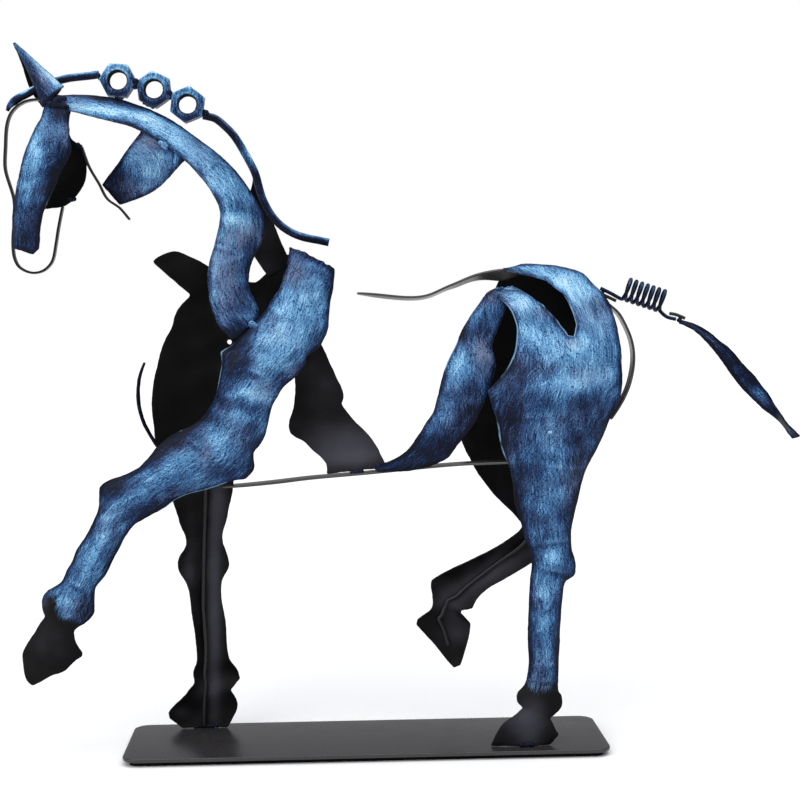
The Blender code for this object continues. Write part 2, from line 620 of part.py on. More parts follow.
def nut(name, centre, turn, link, material, group, cutters):
    """A hex nut on its side, with chamfered corners, a bore, and the link to the next nut.

    link is None, or the course of the link in degrees and its reach from the centre.
    """
    at = place(centre[0], 0, centre[1])
    lay = Matrix.Translation(at) @ Matrix.Rotation(math.pi / 2, 4, "X")
    work = bmesh.new()
    corner = nut_reach(0, 0) * MM
    bmesh.ops.create_cone(work, cap_ends=True, segments=6, radius1=corner, radius2=corner,
                          depth=NUT_THICKNESS * MM)
    rims = [e for e in work.edges if abs(e.verts[0].co.z - e.verts[1].co.z) < MM / 10]
    bmesh.ops.bevel(work, geom=rims, offset=NUT_CHAMFER * MM, segments=1, profile=0.5,
                    affect="EDGES")
    # A hexagon made by create_cone has a corner at +Y, so it is turned back by 30 degrees to +X.
    bmesh.ops.transform(work, verts=work.verts,
                        matrix=lay @ Matrix.Rotation(math.radians(30 + turn), 4, "Z"))
    mesh = bpy.data.meshes.new(name)
    work.to_mesh(mesh)
    work.free()
    made = add_mesh(name, mesh, material, group)
    if link:
        course, reach = math.radians(link[0]), real(link[1])
        ends = [(centre[0] + r * math.cos(course), 0, centre[1] + r * math.sin(course))
                for r in (reach - real(NUT_LINK_ROOT), reach)]
        bar = rod(name + "_link", ends, NUT_LINK_WIDTH, material, group)
        bpy.context.view_layer.update()
        bar = bpy.data.objects.new(name + "_link", bake(bar, name + "_link"))
        cutters.objects.link(bar)
        cut(made, bar, "UNION")
    bpy.ops.mesh.primitive_cylinder_add(vertices=20, radius=NUT_BORE / 2 * MM,
                                        depth=2 * NUT_THICKNESS * MM)
    bore = bpy.context.object
    bore.name = name + "_bore"
    bore.data.transform(lay)
    for owner in list(bore.users_collection):
        owner.objects.unlink(bore)
    cutters.objects.link(bore)
    cut(made, bore)
    return made


def rod_on_sheet(sheet, run, diameter):
    """Points for a rod that lies on the inner side of a far sheet, just clear of it.

    run lists how many stretches down the sheet and the share across it, for each point."""
    lift = real(SHEET / 2 + ROD_GAP + diameter / 2)
    return [tuple(Vector(sheet.point(u, v)) - sheet.normal(u, v) * lift) for u, v in run]


def build_base(metal, rubber, group):
    """The steel plate and the pad under it."""
    slab("base_pad", PLATE_LENGTH - 2 * PAD_INSET, PLATE_DEPTH - 2 * PAD_INSET,
         PLATE_CORNER - PAD_INSET, 0, PAD, 0, rubber, group)
    slab("base_plate", PLATE_LENGTH, PLATE_DEPTH, PLATE_CORNER, PAD + GAP, PLATE_TOP, PLATE_EDGE,
         metal, group)


def build_legs(blue, black, group, cutters):
    """The four leg sheets and the rods inside the far ones."""
    bent_sheet("near_foreleg", NEAR_FORELEG, 4, 4, SHEET, blue, group)
    far_fore = bent_sheet("far_foreleg", FAR_FORELEG, 4, 5, SHEET, blue, group)
    near_hind = bent_sheet("near_hindleg", NEAR_HINDLEG, 4, 4, SHEET, blue, group)
    bent_sheet("far_hindleg", FAR_HINDLEG, 4, 4, SHEET, blue, group)
    cut(near_hind, flat_cutter("crescent", CRESCENT, -CUT_REACH, 0, cutters))
    ring = [(HOLE_CENTRE[0] + real(HOLE) / 2 * math.cos(2 * math.pi * k / HOLE_SIDES),
             HOLE_CENTRE[1] + real(HOLE) / 2 * math.sin(2 * math.pi * k / HOLE_SIDES))
            for k in range(HOLE_SIDES)]
    cut(far_fore, flat_cutter("shoulder_hole", ring, 0, CUT_REACH, cutters))
    rod("foreleg_rod", rod_on_sheet(FAR_FORELEG, FORELEG_ROD_RUN, LEG_ROD), LEG_ROD, black, group)
    rod("hindleg_rod", rod_on_sheet(FAR_HINDLEG, HINDLEG_ROD_RUN, LEG_ROD), LEG_ROD, black, group)


def build_body(blue, black, group):
    """The strips and straps between the legs."""
    bent_sheet("near_flank", NEAR_FLANK, 6, 3, SHEET, blue, group)
    bent_sheet("far_rib", FAR_RIB, 5, 3, SHEET, blue, group)
    bent_sheet("spine_strap", SPINE_STRAP, 5, 1, STRAP, black, group)
    bent_sheet("belly_strap", BELLY_STRAP, 3, 1, STRAP, black, group)
    bent_sheet("chest_strip", CHEST_STRIP, 5, 1, SHEET, blue, group)


def build_neck_and_head(blue, black, group):
    """The neck, throat, cheeks, face and ears."""
    bent_sheet("neck", NECK, 4, 4, SHEET, blue, group)
    bent_sheet("throat_plate", THROAT_PLATE, 4, 3, SHEET, blue, group)
    bent_sheet("far_neck_plate", FAR_NECK_PLATE, 6, 2, SHEET, blue, group)
    bent_sheet("near_cheek", NEAR_CHEEK, 4, 4, SHEET, blue, group)
    bent_sheet("far_cheek", FAR_CHEEK, 5, 4, SHEET, blue, group)
    strip("face_strip", FACE_PATH, FACE_STRIP_WIDTH, FACE_STRIP, 2, black, group)
    strip("throat_strip", THROAT_PATH, FACE_STRIP_WIDTH, FACE_STRIP, 3, black, group)
    bent_sheet("near_ear", NEAR_EAR, 8, 6, EAR_SHEET, blue, group)
    bent_sheet("far_ear", FAR_EAR, 8, 6, EAR_SHEET, blue, group)


def build_mane(blue, group, cutters):
    """The two mane rods, and the three nuts with the links between them."""
    centres = nut_centres()
    for k, (centre, turn) in enumerate(zip(centres, NUT_TURNS)):
        link = None
        if k < len(NUT_COURSES):
            course = NUT_COURSES[k]
            # The link's flat end clears the slanted face of the next nut at its nearest corner.
            slant = math.radians((course + 180 - NUT_TURNS[k + 1]) % 60 - 30)
            short = GAP + NUT_LINK_WIDTH / 2 * abs(math.tan(slant))
            link = (course, nut_reach(turn, course) + NUT_LINKS[k] - short)
        nut(f"mane_nut_{k + 1}", centre, turn, link, blue, group, cutters)
    front_end = (centres[0][0] - real(nut_reach(0, 0) + GAP), centres[0][1] + MANE_FRONT_RISE)
    front = smooth_run(MANE_FRONT_PATH + (front_end,), 2)
    rod("mane_front_rod", [(x, 0, z) for x, z in front], MANE_ROD, blue, group, GROUND_TIP)
    rear_course = math.radians(MANE_REAR_COURSE)
    rear_reach = real(nut_reach(NUT_TURNS[2], MANE_REAR_COURSE) + GAP)
    rear_start = (centres[2][0] + rear_reach * math.cos(rear_course),
                  centres[2][1] + rear_reach * math.sin(rear_course))
    rear = smooth_run((rear_start,) + MANE_REAR_PATH, 2)
    rod("mane_rear_rod", [(x, MANE_REAR_Y * min(i / MANE_REAR_LEAN_POINTS, 1), z)
                          for i, (x, z) in enumerate(rear)], MANE_ROD, blue, group)


def build_tail(blue, black, group):
    """The wires, spring and leaf of the tail."""
    radius = real(SPRING_OUTER - TAIL_WIRE) / 2
    fall = math.radians(SPRING_FALL)
    along = Vector((math.cos(fall), 0, -math.sin(fall)))
    up = Vector((math.sin(fall), 0, math.cos(fall)))
    start = Vector((SPRING_START[0], 0, SPRING_START[1]))
    coil = []
    for i in range(SPRING_TURNS * SPRING_STEPS + 1):
        turn = 2 * math.pi * i / SPRING_STEPS
        centre = start + along * real(SPRING_PITCH) * i / SPRING_STEPS
        coil.append(tuple(centre - up * radius * math.cos(turn)
                          + Vector((0, -radius * math.sin(turn), 0))))
    before, after = ([(x, 0, z) for x, z in ends] for ends in (LEAD_IN, LEAD_OUT))
    rod("tail_spring", before + coil + after, TAIL_WIRE, black, group)
    rod("tail_stem", [(x, 0, z) for x, z in STEM], TAIL_WIRE, black, group)
    rod("tail_link", [(x, 0, z) for x, z in TAIL_LINK], TAIL_WIRE, black, group)
    bent_sheet("tail_leaf", TAIL_LEAF, 5, 3, SHEET, blue, group)


def main():
    """Build the whole sculpture."""
    for old in list(bpy.data.objects):
        bpy.data.objects.remove(old)
    group, cutters = collection("metal_horse_sculpture"), collection("cutters")
    blue = finish("dry_brushed_blue", (0.07, 0.22, 0.5), 0.45, 0.3)
    black = finish("black_enamel", (0.012, 0.012, 0.014), 0.4, 0.0)
    rubber = finish("black_pad", (0.008, 0.008, 0.008), 0.8, 0.0)
    build_base(black, rubber, group)
    build_legs(blue, black, group, cutters)
    build_body(blue, black, group)
    build_neck_and_head(blue, black, group)
    build_mane(blue, group, cutters)
    build_tail(blue, black, group)


main()
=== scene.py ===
"""The looks of a metal horse sculpture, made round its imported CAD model.

Every cut sheet, strap, rod and nut is remade from its CAD node as a finer mesh in the same place:
the sheets get rolled edges and shallow hammer waves, the rods get round sections and ground ends,
and the nuts get their chamfers and threads. Weld beads join them. The outer faces are dry-brushed
blue over black, the rest is black. Sizes are millimetres unless a name says otherwise.
"""
from __future__ import annotations

import heapq
import json
import logging
import math
from dataclasses import dataclass, field
from enum import Enum

import bmesh
import bpy
import numpy as np
from mathutils import Matrix, Vector
from mathutils.bvhtree import BVHTree
from mathutils.kdtree import KDTree

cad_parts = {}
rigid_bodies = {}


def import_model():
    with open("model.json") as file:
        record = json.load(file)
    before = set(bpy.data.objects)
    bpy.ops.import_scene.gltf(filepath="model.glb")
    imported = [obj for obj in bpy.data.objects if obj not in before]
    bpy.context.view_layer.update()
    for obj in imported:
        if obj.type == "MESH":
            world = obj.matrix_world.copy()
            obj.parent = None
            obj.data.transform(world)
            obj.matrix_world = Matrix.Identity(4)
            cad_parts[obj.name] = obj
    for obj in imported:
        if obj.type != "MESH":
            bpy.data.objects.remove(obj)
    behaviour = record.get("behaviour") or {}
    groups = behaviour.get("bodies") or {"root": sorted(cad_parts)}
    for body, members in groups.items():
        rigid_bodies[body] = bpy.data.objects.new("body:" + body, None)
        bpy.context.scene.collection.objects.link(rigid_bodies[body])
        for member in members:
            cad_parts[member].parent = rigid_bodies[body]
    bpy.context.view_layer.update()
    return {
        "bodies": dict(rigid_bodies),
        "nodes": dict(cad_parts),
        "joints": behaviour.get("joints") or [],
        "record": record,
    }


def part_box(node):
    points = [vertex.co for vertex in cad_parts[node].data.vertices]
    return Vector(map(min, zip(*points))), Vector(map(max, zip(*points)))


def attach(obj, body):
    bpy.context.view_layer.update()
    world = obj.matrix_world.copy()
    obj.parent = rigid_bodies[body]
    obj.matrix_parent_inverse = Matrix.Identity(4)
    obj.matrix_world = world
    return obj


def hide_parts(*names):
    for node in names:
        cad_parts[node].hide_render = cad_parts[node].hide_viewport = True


log = logging.getLogger("metal_horse")

MM = 0.001
BODY = "root"
STROKES = "strokes"
# A distance to the nearest cut edge that no dark border reaches
FAR_FROM_EDGES = 9 * MM
# CAD points closer together than this are one point
MERGE = 0.01 * MM
# Two triangles join to one face where their planes and their corners differ by less than these
JOIN_BEND = math.radians(28)
JOIN_SKEW = math.radians(85)
# The rim of a rod's end turns by more than this
CAP_TURN = math.radians(50)


class Face(Enum):
    """Which way the painted face of a sheet looks: -1 toward -Y, 1 toward +Y, 0 both ways."""

    NEAR = -1
    FAR = 1
    BOTH = 0


class End(Enum):
    """The end of a sheet or rod where its middle line starts, as a direction."""

    LOW = (0.0, 0.0, -1.0)
    HIGH = (0.0, 0.0, 1.0)
    LEFT = (-1.0, 0.0, 0.0)
    RIGHT = (1.0, 0.0, 0.0)


class Tone(Enum):
    """What a patch does: the attribute that it changes, and how far at full strength.

    A dent moves the steel instead, and the paint follows it: darker in the hollow and lighter on the
    ridge above, partly painted shade and highlight.
    """

    LIGHT = ("paint", 0.7)
    DEEP = ("paint", -0.6)
    VIOLET = ("violet", 1.0)
    SOOT = ("soot", 1.0)
    GLEAM = ("gleam", 1.0)
    WORN_AND_HIGHLIT = ("worn_and_highlit", 1.0)
    DENT = ("dent", 1.0)


def linear(code: str) -> tuple[float, float, float, float]:
    """The linear colour of an sRGB hex value.

    Args:
        code: Six hex digits, with or without a leading #.

    Returns:
        Red, green, blue and an alpha of 1.
    """
    digits = code.lstrip("#")
    shares = [int(digits[i:i + 2], 16) / 255 for i in (0, 2, 4)]
    red, green, blue = (c / 12.92 if c <= 0.04045 else ((c + 0.055) / 1.055) ** 2.4
                        for c in shares)
    return red, green, blue, 1.0


def add_node(tree: bpy.types.NodeTree, kind: str, inputs: dict | None = None,
             **settings: object) -> bpy.types.Node:
    """Add a node with its settings and links.

    Args:
        tree: The tree that gets the node.
        kind: The node's class name in Blender.
        inputs: Values for its sockets by name or index; a socket as a value is linked.
        settings: The node's own properties.

    Returns:
        The new node.
    """
    node = tree.nodes.new(kind)
    for name, value in settings.items():
        setattr(node, name, value)
    for key, value in (inputs or {}).items():
        if isinstance(value, bpy.types.NodeSocket):
            tree.links.new(value, node.inputs[key])
        else:
            node.inputs[key].default_value = value
    return node


def blank_material(name: str) -> tuple[bpy.types.Material, bpy.types.NodeTree]:
    """A new material with an empty node tree.

    Args:
        name: The material's name.

    Returns:
        The material and its tree.
    """
    made = bpy.data.materials.new(name)
    made.use_nodes = True
    made.node_tree.nodes.clear()
    return made, made.node_tree


def blank_shape(name: str, numbers: tuple[str, ...], counts: tuple[str, ...] = (),
                takes_mesh: bool = True) -> tuple[bpy.types.NodeTree, bpy.types.NodeOutputs]:
    """A new Geometry Nodes tree with its inputs, one of which is the finish.

    Args:
        name: The tree's name.
        numbers: Names of the inputs that are numbers.
        counts: Names of the inputs that are whole numbers.
        takes_mesh: Whether a mesh goes in.

    Returns:
        The tree, and the sockets of its inputs.
    """
    made = bpy.data.node_groups.new(name, "GeometryNodeTree")
    kinds = {"Geometry": "NodeSocketGeometry"} if takes_mesh else {}
    kinds.update(dict.fromkeys(counts, "NodeSocketInt"))
    kinds.update(dict.fromkeys(numbers, "NodeSocketFloat"))
    kinds["Finish"] = "NodeSocketMaterial"
    for label, kind in kinds.items():
        made.interface.new_socket(label, in_out="INPUT", socket_type=kind)
    made.interface.new_socket("Geometry", in_out="OUTPUT", socket_type="NodeSocketGeometry")
    return made, add_node(made, "NodeGroupInput").outputs


def finish_shape(tree: bpy.types.NodeTree, shape: bpy.types.NodeSocket,
                 finish: bpy.types.NodeSocket) -> None:
    """Give a Geometry Nodes tree's shape its finish and send it out.

    Args:
        tree: The tree.
        shape: The socket that holds the shape.
        finish: The socket that holds the finish.
    """
    real = add_node(tree, "GeometryNodeRealizeInstances", {0: shape})
    dressed = add_node(tree, "GeometryNodeSetMaterial", {
        "Geometry": real.outputs[0], "Material": finish})
    add_node(tree, "NodeGroupOutput", {0: dressed.outputs[0]})


def seed_of(name: str) -> int:
    """A seed for a name's random numbers, the same on every run."""
    return sum(ord(letter) for letter in name)


@dataclass(frozen=True)
class PhotoView:
    """The camera of the photograph, which also says where a point of the part shows in it.

    Attributes:
        place: The camera's place.
        turn: Its yaw, pitch and roll in degrees.
        lens: Its focal length on a sensor as wide as film.
        film: The sensor's width.
        side: The photograph's width and height in pixels.
    """

    place: tuple[float, float, float] = (-19.6, -815.8, 228.4)
    turn: tuple[float, float, float] = (-2.70, -3.49, 0.52)
    lens: float = 72.0
    film: float = 36.0
    side: int = 800

    def axes(self) -> np.ndarray:
        """The camera's own directions.

        Returns:
            Its right, forward and up as the columns of a 3 x 3 array.
        """
        yaw, pitch, roll = (math.radians(angle) for angle in self.turn)
        turned = (Matrix.Rotation(yaw, 3, "Z") @ Matrix.Rotation(pitch, 3, "X")
                  @ Matrix.Rotation(roll, 3, "Y"))
        return np.array(turned)

    def pixels(self, points: np.ndarray) -> np.ndarray:
        """Where points show in the photograph.

        Args:
            points: Places in metres, one a row.

        Returns:
            The x and y of each in pixels.
        """
        seen = (points - np.array(self.place) * MM) @ self.axes()
        scale = self.lens / self.film * self.side
        return np.stack([self.side / 2 + scale * seen[:, 0] / seen[:, 1],
                         self.side / 2 - scale * seen[:, 2] / seen[:, 1]], axis=1)

    def point(self, pixel: tuple[float, float], depth: float) -> Vector:
        """The place that shows at a pixel.

        Args:
            pixel: Its x and y in the photograph.
            depth: The place's y in millimetres.

        Returns:
            The place in metres.
        """
        scale = self.lens / self.film * self.side
        ray = self.axes() @ np.array([(pixel[0] - self.side / 2) / scale, 1.0,
                                      (self.side / 2 - pixel[1]) / scale])
        start = np.array(self.place)
        return Vector((start + ray * (depth - start[1]) / ray[1]) * MM)

    def build(self) -> bpy.types.Object:
        """Make the scene's camera.

        Returns:
            The camera.
        """
        lens = bpy.data.cameras.new("photo_view")
        lens.lens = self.lens
        lens.sensor_width = self.film
        lens.clip_start = 0.01
        lens.clip_end = 50.0
        made = bpy.data.objects.new("photo_view", lens)
        bpy.context.scene.collection.objects.link(made)
        right, forward, up = (Vector(column) for column in self.axes().T)
        frame = Matrix((right, up, -forward)).transposed().to_4x4()
        made.matrix_world = Matrix.Translation(Vector(self.place) * MM) @ frame
        bpy.context.scene.camera = made
        return made


@dataclass(frozen=True)
class Waves:
    """A soft random field, the sum of a few plane waves across the side view.

    Attributes:
        seed: The random numbers' seed.
        length: The usual distance from crest to crest.
        height: How far the field mostly strays from zero.
        count: How many waves it adds.
    """

    seed: int
    length: float
    height: float
    count: int = 14

    def at(self, points: np.ndarray) -> np.ndarray:
        """The field at some places.

        Args:
            points: The places in metres, one a row.

        Returns:
            The field's value at each.
        """
        chance = np.random.default_rng(self.seed)
        total = np.zeros(len(points))
        for _ in range(self.count):
            heading = chance.uniform(0, 2 * math.pi)
            length = self.length * MM * chance.uniform(0.7, 1.5)
            way = np.array([math.cos(heading), 0.35 * math.sin(3 * heading), math.sin(heading)])
            total += np.sin(points @ way * 2 * math.pi / length + chance.uniform(0, 2 * math.pi))
        return total * self.height * math.sqrt(2 / self.count)


@dataclass(frozen=True)
class Patch:
    """A soft-edged place of another tone, as the photograph shows it: mostly where the brush left
    one, and for gleam a painted sheen.

    Attributes:
        pixel: Its middle in the photograph.
        reach: Half its width and height in pixels.
        tone: What it changes.
        strength: By how much, at its middle. For a dent, its depth in millimetres.
        turn: Its turn in degrees, anticlockwise as seen.
    """

    pixel: tuple[float, float]
    reach: tuple[float, float]
    tone: Tone
    strength: float
    turn: float = 0.0

    def at(self, pixels: np.ndarray) -> np.ndarray:
        """How strongly the patch acts at some places.

        Args:
            pixels: Where they show in the photograph, one a row.

        Returns:
            Its strength at each.
        """
        angle = math.radians(self.turn)
        off = pixels - np.array(self.pixel)
        along = (off[:, 0] * math.cos(angle) - off[:, 1] * math.sin(angle)) / self.reach[0]
        over = (off[:, 0] * math.sin(angle) + off[:, 1] * math.cos(angle)) / self.reach[1]
        return self.strength * np.exp(-(along ** 2 + over ** 2))


@dataclass(frozen=True)
class Push:
    """A soft push that moves the steel near one place of the photograph.

    Attributes:
        pixel: The push's middle in the photograph.
        reach: How far it fades out to the right and down, in pixels.
        by: How far it moves the middle, to the right and down, in pixels.
    """

    pixel: tuple[float, float]
    reach: tuple[float, float]
    by: tuple[float, float]

    # A pixel's size at the horse's middle plane, in millimetres
    SIZE = 0.51

    def at(self, pixels: np.ndarray) -> np.ndarray:
        """How far the push moves some places.

        Args:
            pixels: Where they show in the photograph, one a row.

        Returns:
            How far each moves along x, y and z, in metres.
        """
        off = (pixels - np.array(self.pixel)) / np.array(self.reach)
        share = np.exp(-(off ** 2).sum(1)) * self.SIZE * MM
        return share[:, None] * np.array([self.by[0], 0.0, -self.by[1]])


@dataclass(frozen=True)
class DryBrushedBlue:
    """Black satin enamel on mild steel, dry-brushed with two blues.

    The eye sees fine streaks along the brush's way, speckles where the bristles skip, broad light
    and dark places, dark borders that are partly painted shade of the rolled edges, and a thin light
    line on some cut edges that is partly brushed bare and partly a painted highlight. The piece's
    attributes say where: paint from 0, bare black, to 1, sky blue; violet, soot, worn_and_highlit
    and gleam, a painted sheen, from 0 to 1; rim, the distance to a cut edge in metres; outer, 1 on a
    painted face.

    Attributes:
        ramp: Place and colour of each step from bare enamel to the lightest blue.
        violet: Where both paints mixed thinly.
        black: The enamel of hooves and inner faces where it reflects nothing.
        gleam: The same with a painted sheen, where it catches the light softly.
        worn_and_highlit: The light line where a cut edge was brushed bare of black, partly a painted
            highlight along the edge.
        streak: Width and length of one bristle's streak. Real bristles leave 0.2 mm; they are
            drawn coarser, because finer ones don't show.
        cross: Width and length of the second, slanting brushing.
        cross_turn: Its turn from the first, in degrees.
        scratch: Width and length of the thin dark and light scratches.
        scratches: Turn in degrees and change of tone of each set of scratches.
        sweep: Width and length of a stroke.
        speck: Size of the skips between bristles.
        pit: Size of the dark pits.
        pit_dark: How much darker a pit is.
        cloud: Size of the patches where borders and light edge lines come and go.
        gains: How much the streaks, the slanting brushing, the strokes and the skips change the
            tone.
        border: How far the dark border, partly painted shade of the rolled edge, reaches from a cut
            edge, and how far that wanders.
        border_dark: How much darker the border is.
        line: Where the light line on a cut edge starts to fade and where it ends.
        rough: Roughness of the paint, and of the bare black.
        relief: Height of the ridges that the bristles left.
        gloss: How much light it reflects straight on.
    """

    ramp: tuple[tuple[float, str], ...] = (
        (0.0, "070B1A"), (0.2, "10203F"), (0.38, "243F67"), (0.54, "3E6893"),
        (0.7, "6196BF"), (0.85, "8ABADB"), (1.0, "B6DAEE"))
    violet: str = "70768F"
    black: str = "060607"
    gleam: str = "3B3B43"
    worn_and_highlit: str = "8FBEE2"
    streak: tuple[float, float] = (0.5, 7.0)
    cross: tuple[float, float] = (0.5, 5.0)
    cross_turn: float = 32.0
    scratch: tuple[float, float] = (0.4, 12.0)
    scratches: tuple[tuple[float, float], ...] = (
        (6, -0.17), (-8, 0.13), (28, -0.12), (-35, 0.11))
    sweep: tuple[float, float] = (3.2, 22.0)
    speck: float = 0.5
    pit: float = 0.75
    pit_dark: float = 0.24
    cloud: float = 9.0
    gains: tuple[float, float, float, float] = (0.44, 0.22, 0.12, 0.42)
    border: tuple[float, float] = (3.0, 3.0)
    border_dark: float = 0.3
    line: tuple[float, float] = (0.1, 0.4)
    rough: tuple[float, float] = (0.42, 0.5)
    relief: float = 0.2
    gloss: float = 0.1

    # The values of a noise from which a mark starts to show, and from which it shows fully
    PIT_SHOWS = (0.62, 0.7)
    SCRATCH_SHOWS = (0.6, 0.7)
    RUBBED_AND_HIGHLIT_SHOWS = (0.62, 0.84)
    SOOT_SHOWS = (0.8, 1.15)
    # The range of the strokes' noise, and that of the tone, over which violet grows, and its
    # share at both ends
    VIOLET_BY_SWEEP = (0.3, 0.65, 0.4, 0.9)
    VIOLET_BY_TONE = (0.1, 0.6, 0.0, 0.8)

    def build(self) -> bpy.types.Material:
        """Make the material.

        Returns:
            The material.
        """
        made, tree = blank_material("dry_brushed_blue_on_black_enamel")
        place = add_node(tree, "ShaderNodeTexCoord").outputs["Object"]
        along = add_node(tree, "ShaderNodeUVMap", uv_map=STROKES).outputs["UV"]

        def value(name: str) -> bpy.types.NodeSocket:
            """One of the piece's attributes."""
            return add_node(tree, "ShaderNodeAttribute", attribute_name=name).outputs["Fac"]

        def sums(operation: str, *terms: object) -> bpy.types.NodeSocket:
            """A sum of a Math node."""
            return add_node(tree, "ShaderNodeMath", dict(enumerate(terms)),
                            operation=operation).outputs[0]

        def fibres(size: tuple[float, float], detail: float, slant: float = 0.0
                   ) -> bpy.types.NodeSocket:
            """Noise drawn out along the brush's way, or at a slant to it.

            Args:
                size: Its width and length.
                detail: How many finer layers it adds.
                slant: Its turn from the brush's way, in degrees.

            Returns:
                The noise.
            """
            turned = add_node(tree, "ShaderNodeVectorRotate", {
                "Vector": along, "Angle": math.radians(slant)}, rotation_type="Z_AXIS")
            scaled = add_node(tree, "ShaderNodeMapping", {
                "Vector": turned.outputs[0],
                "Scale": (1 / (size[0] * MM), 1 / (size[1] * MM), 1.0)})
            return add_node(tree, "ShaderNodeTexNoise", {
                "Vector": scaled.outputs[0], "Scale": 1.0, "Detail": detail,
                "Roughness": 0.5}).outputs["Fac"]

        def grains(size: float, detail: float) -> bpy.types.NodeSocket:
            """Even noise of one size."""
            return add_node(tree, "ShaderNodeTexNoise", {
                "Vector": place, "Scale": 1 / (size * MM), "Detail": detail,
                "Roughness": 0.5}).outputs["Fac"]

        def ranged(source: bpy.types.NodeSocket, start: float, stop: float, first: float,
                   last: float) -> bpy.types.NodeSocket:
            """A smooth step of a value from one range to another."""
            return add_node(tree, "ShaderNodeMapRange", {
                0: source, 1: start, 2: stop, 3: first, 4: last},
                interpolation_type="SMOOTHSTEP").outputs[0]

        def blend(factor: object, first: object, second: object) -> bpy.types.NodeSocket:
            """A mix of two colours."""
            return add_node(tree, "ShaderNodeMix", {0: factor, 6: first, 7: second},
                            data_type="RGBA").outputs[2]

        streak = fibres(self.streak, 1.0)
        cross = fibres(self.cross, 1.0, self.cross_turn)
        sweep = fibres(self.sweep, 2.0)
        speck = grains(self.speck, 1.0)
        cloud = grains(self.cloud, 2.0)
        pits = grains(self.pit, 0.0)

        # The paint's tone: the brush, then the dark borders, partly painted shade where the edges
        # roll away, the pits and the scratches
        tone = value("paint")
        for noise, gain in zip((streak, cross, sweep, speck), self.gains):
            tone = sums("MULTIPLY_ADD", sums("SUBTRACT", noise, 0.5), gain, tone)
        wander = sums("MULTIPLY", sums("SUBTRACT", cloud, 0.5), self.border[1] * MM)
        rim = sums("ADD", value("rim"), wander)
        tone = sums("SUBTRACT", tone,
                    ranged(rim, 0.0, self.border[0] * MM, self.border_dark, 0.0))
        tone = sums("SUBTRACT", tone, ranged(pits, *self.PIT_SHOWS, 0.0, self.pit_dark))
        for slant, change in self.scratches:
            scratch = fibres(self.scratch, 0.0, slant)
            tone = sums("ADD", tone, ranged(scratch, *self.SCRATCH_SHOWS, 0.0, change))

        # The colour of each tone, with violet where it isn't too dark, and the light line on cut
        # edges, partly brushed bare and partly a painted highlight
        steps = add_node(tree, "ShaderNodeValToRGB", {0: tone})
        while len(steps.color_ramp.elements) < len(self.ramp):
            steps.color_ramp.elements.new(0.5)
        for element, (at, code) in zip(steps.color_ramp.elements, self.ramp):
            element.position = at
            element.color = linear(code)
        thin = sums("MULTIPLY", value("violet"), ranged(sweep, *self.VIOLET_BY_SWEEP))
        thin = sums("MULTIPLY", thin, ranged(tone, *self.VIOLET_BY_TONE))
        colour = blend(thin, steps.outputs[0], linear(self.violet))
        line = ranged(value("rim"), self.line[0] * MM, self.line[1] * MM, 1.0, 0.0)
        rubbed_and_highlit = sums("MULTIPLY_ADD", value("worn_and_highlit"), 0.35, cloud)
        line = sums("MULTIPLY", line, ranged(rubbed_and_highlit, *self.RUBBED_AND_HIGHLIT_SHOWS, 0.0, 0.5))
        colour = blend(line, colour, linear(self.worn_and_highlit))

        # Bare black, which shows through the streaks at its edge, and on it random dust and, where
        # gleam is set, a painted sheen
        sooty = sums("MULTIPLY_ADD", streak, 0.9, value("soot"))
        sooty = ranged(sooty, *self.SOOT_SHOWS, 0.0, 1.0)
        bare = sums("MAXIMUM", sooty, sums("SUBTRACT", 1.0, value("outer")))
        painted_sheen_and_dust = sums("MULTIPLY_ADD", sums("SUBTRACT", cloud, 0.5), 0.3, value("gleam"))
        painted_sheen_and_dust = ranged(painted_sheen_and_dust, 0.0, 1.0, 0.0, 1.0)
        colour = blend(bare, colour, blend(painted_sheen_and_dust, linear(self.black), linear(self.gleam)))

        # The surface: ridges of paint, and a dull sheen
        rough = ranged(bare, 0.0, 1.0, *self.rough)
        height = sums("ADD", sums("MULTIPLY", streak, 0.6), sums("MULTIPLY", speck, 0.4))
        painted = ranged(bare, 0.0, 1.0, 1.0, 0.15)
        bump = add_node(tree, "ShaderNodeBump", {"Strength": sums("MULTIPLY", painted, 0.55),
                                                 "Distance": self.relief * MM,
                                                 "Height": height})
        shader = add_node(tree, "ShaderNodeBsdfPrincipled", {
            "Base Color": colour, "Roughness": rough, "Metallic": 0.0,
            "Specular IOR Level": self.gloss, "Normal": bump.outputs[0]})
        add_node(tree, "ShaderNodeOutputMaterial", {0: shader.outputs[0]})
        return made


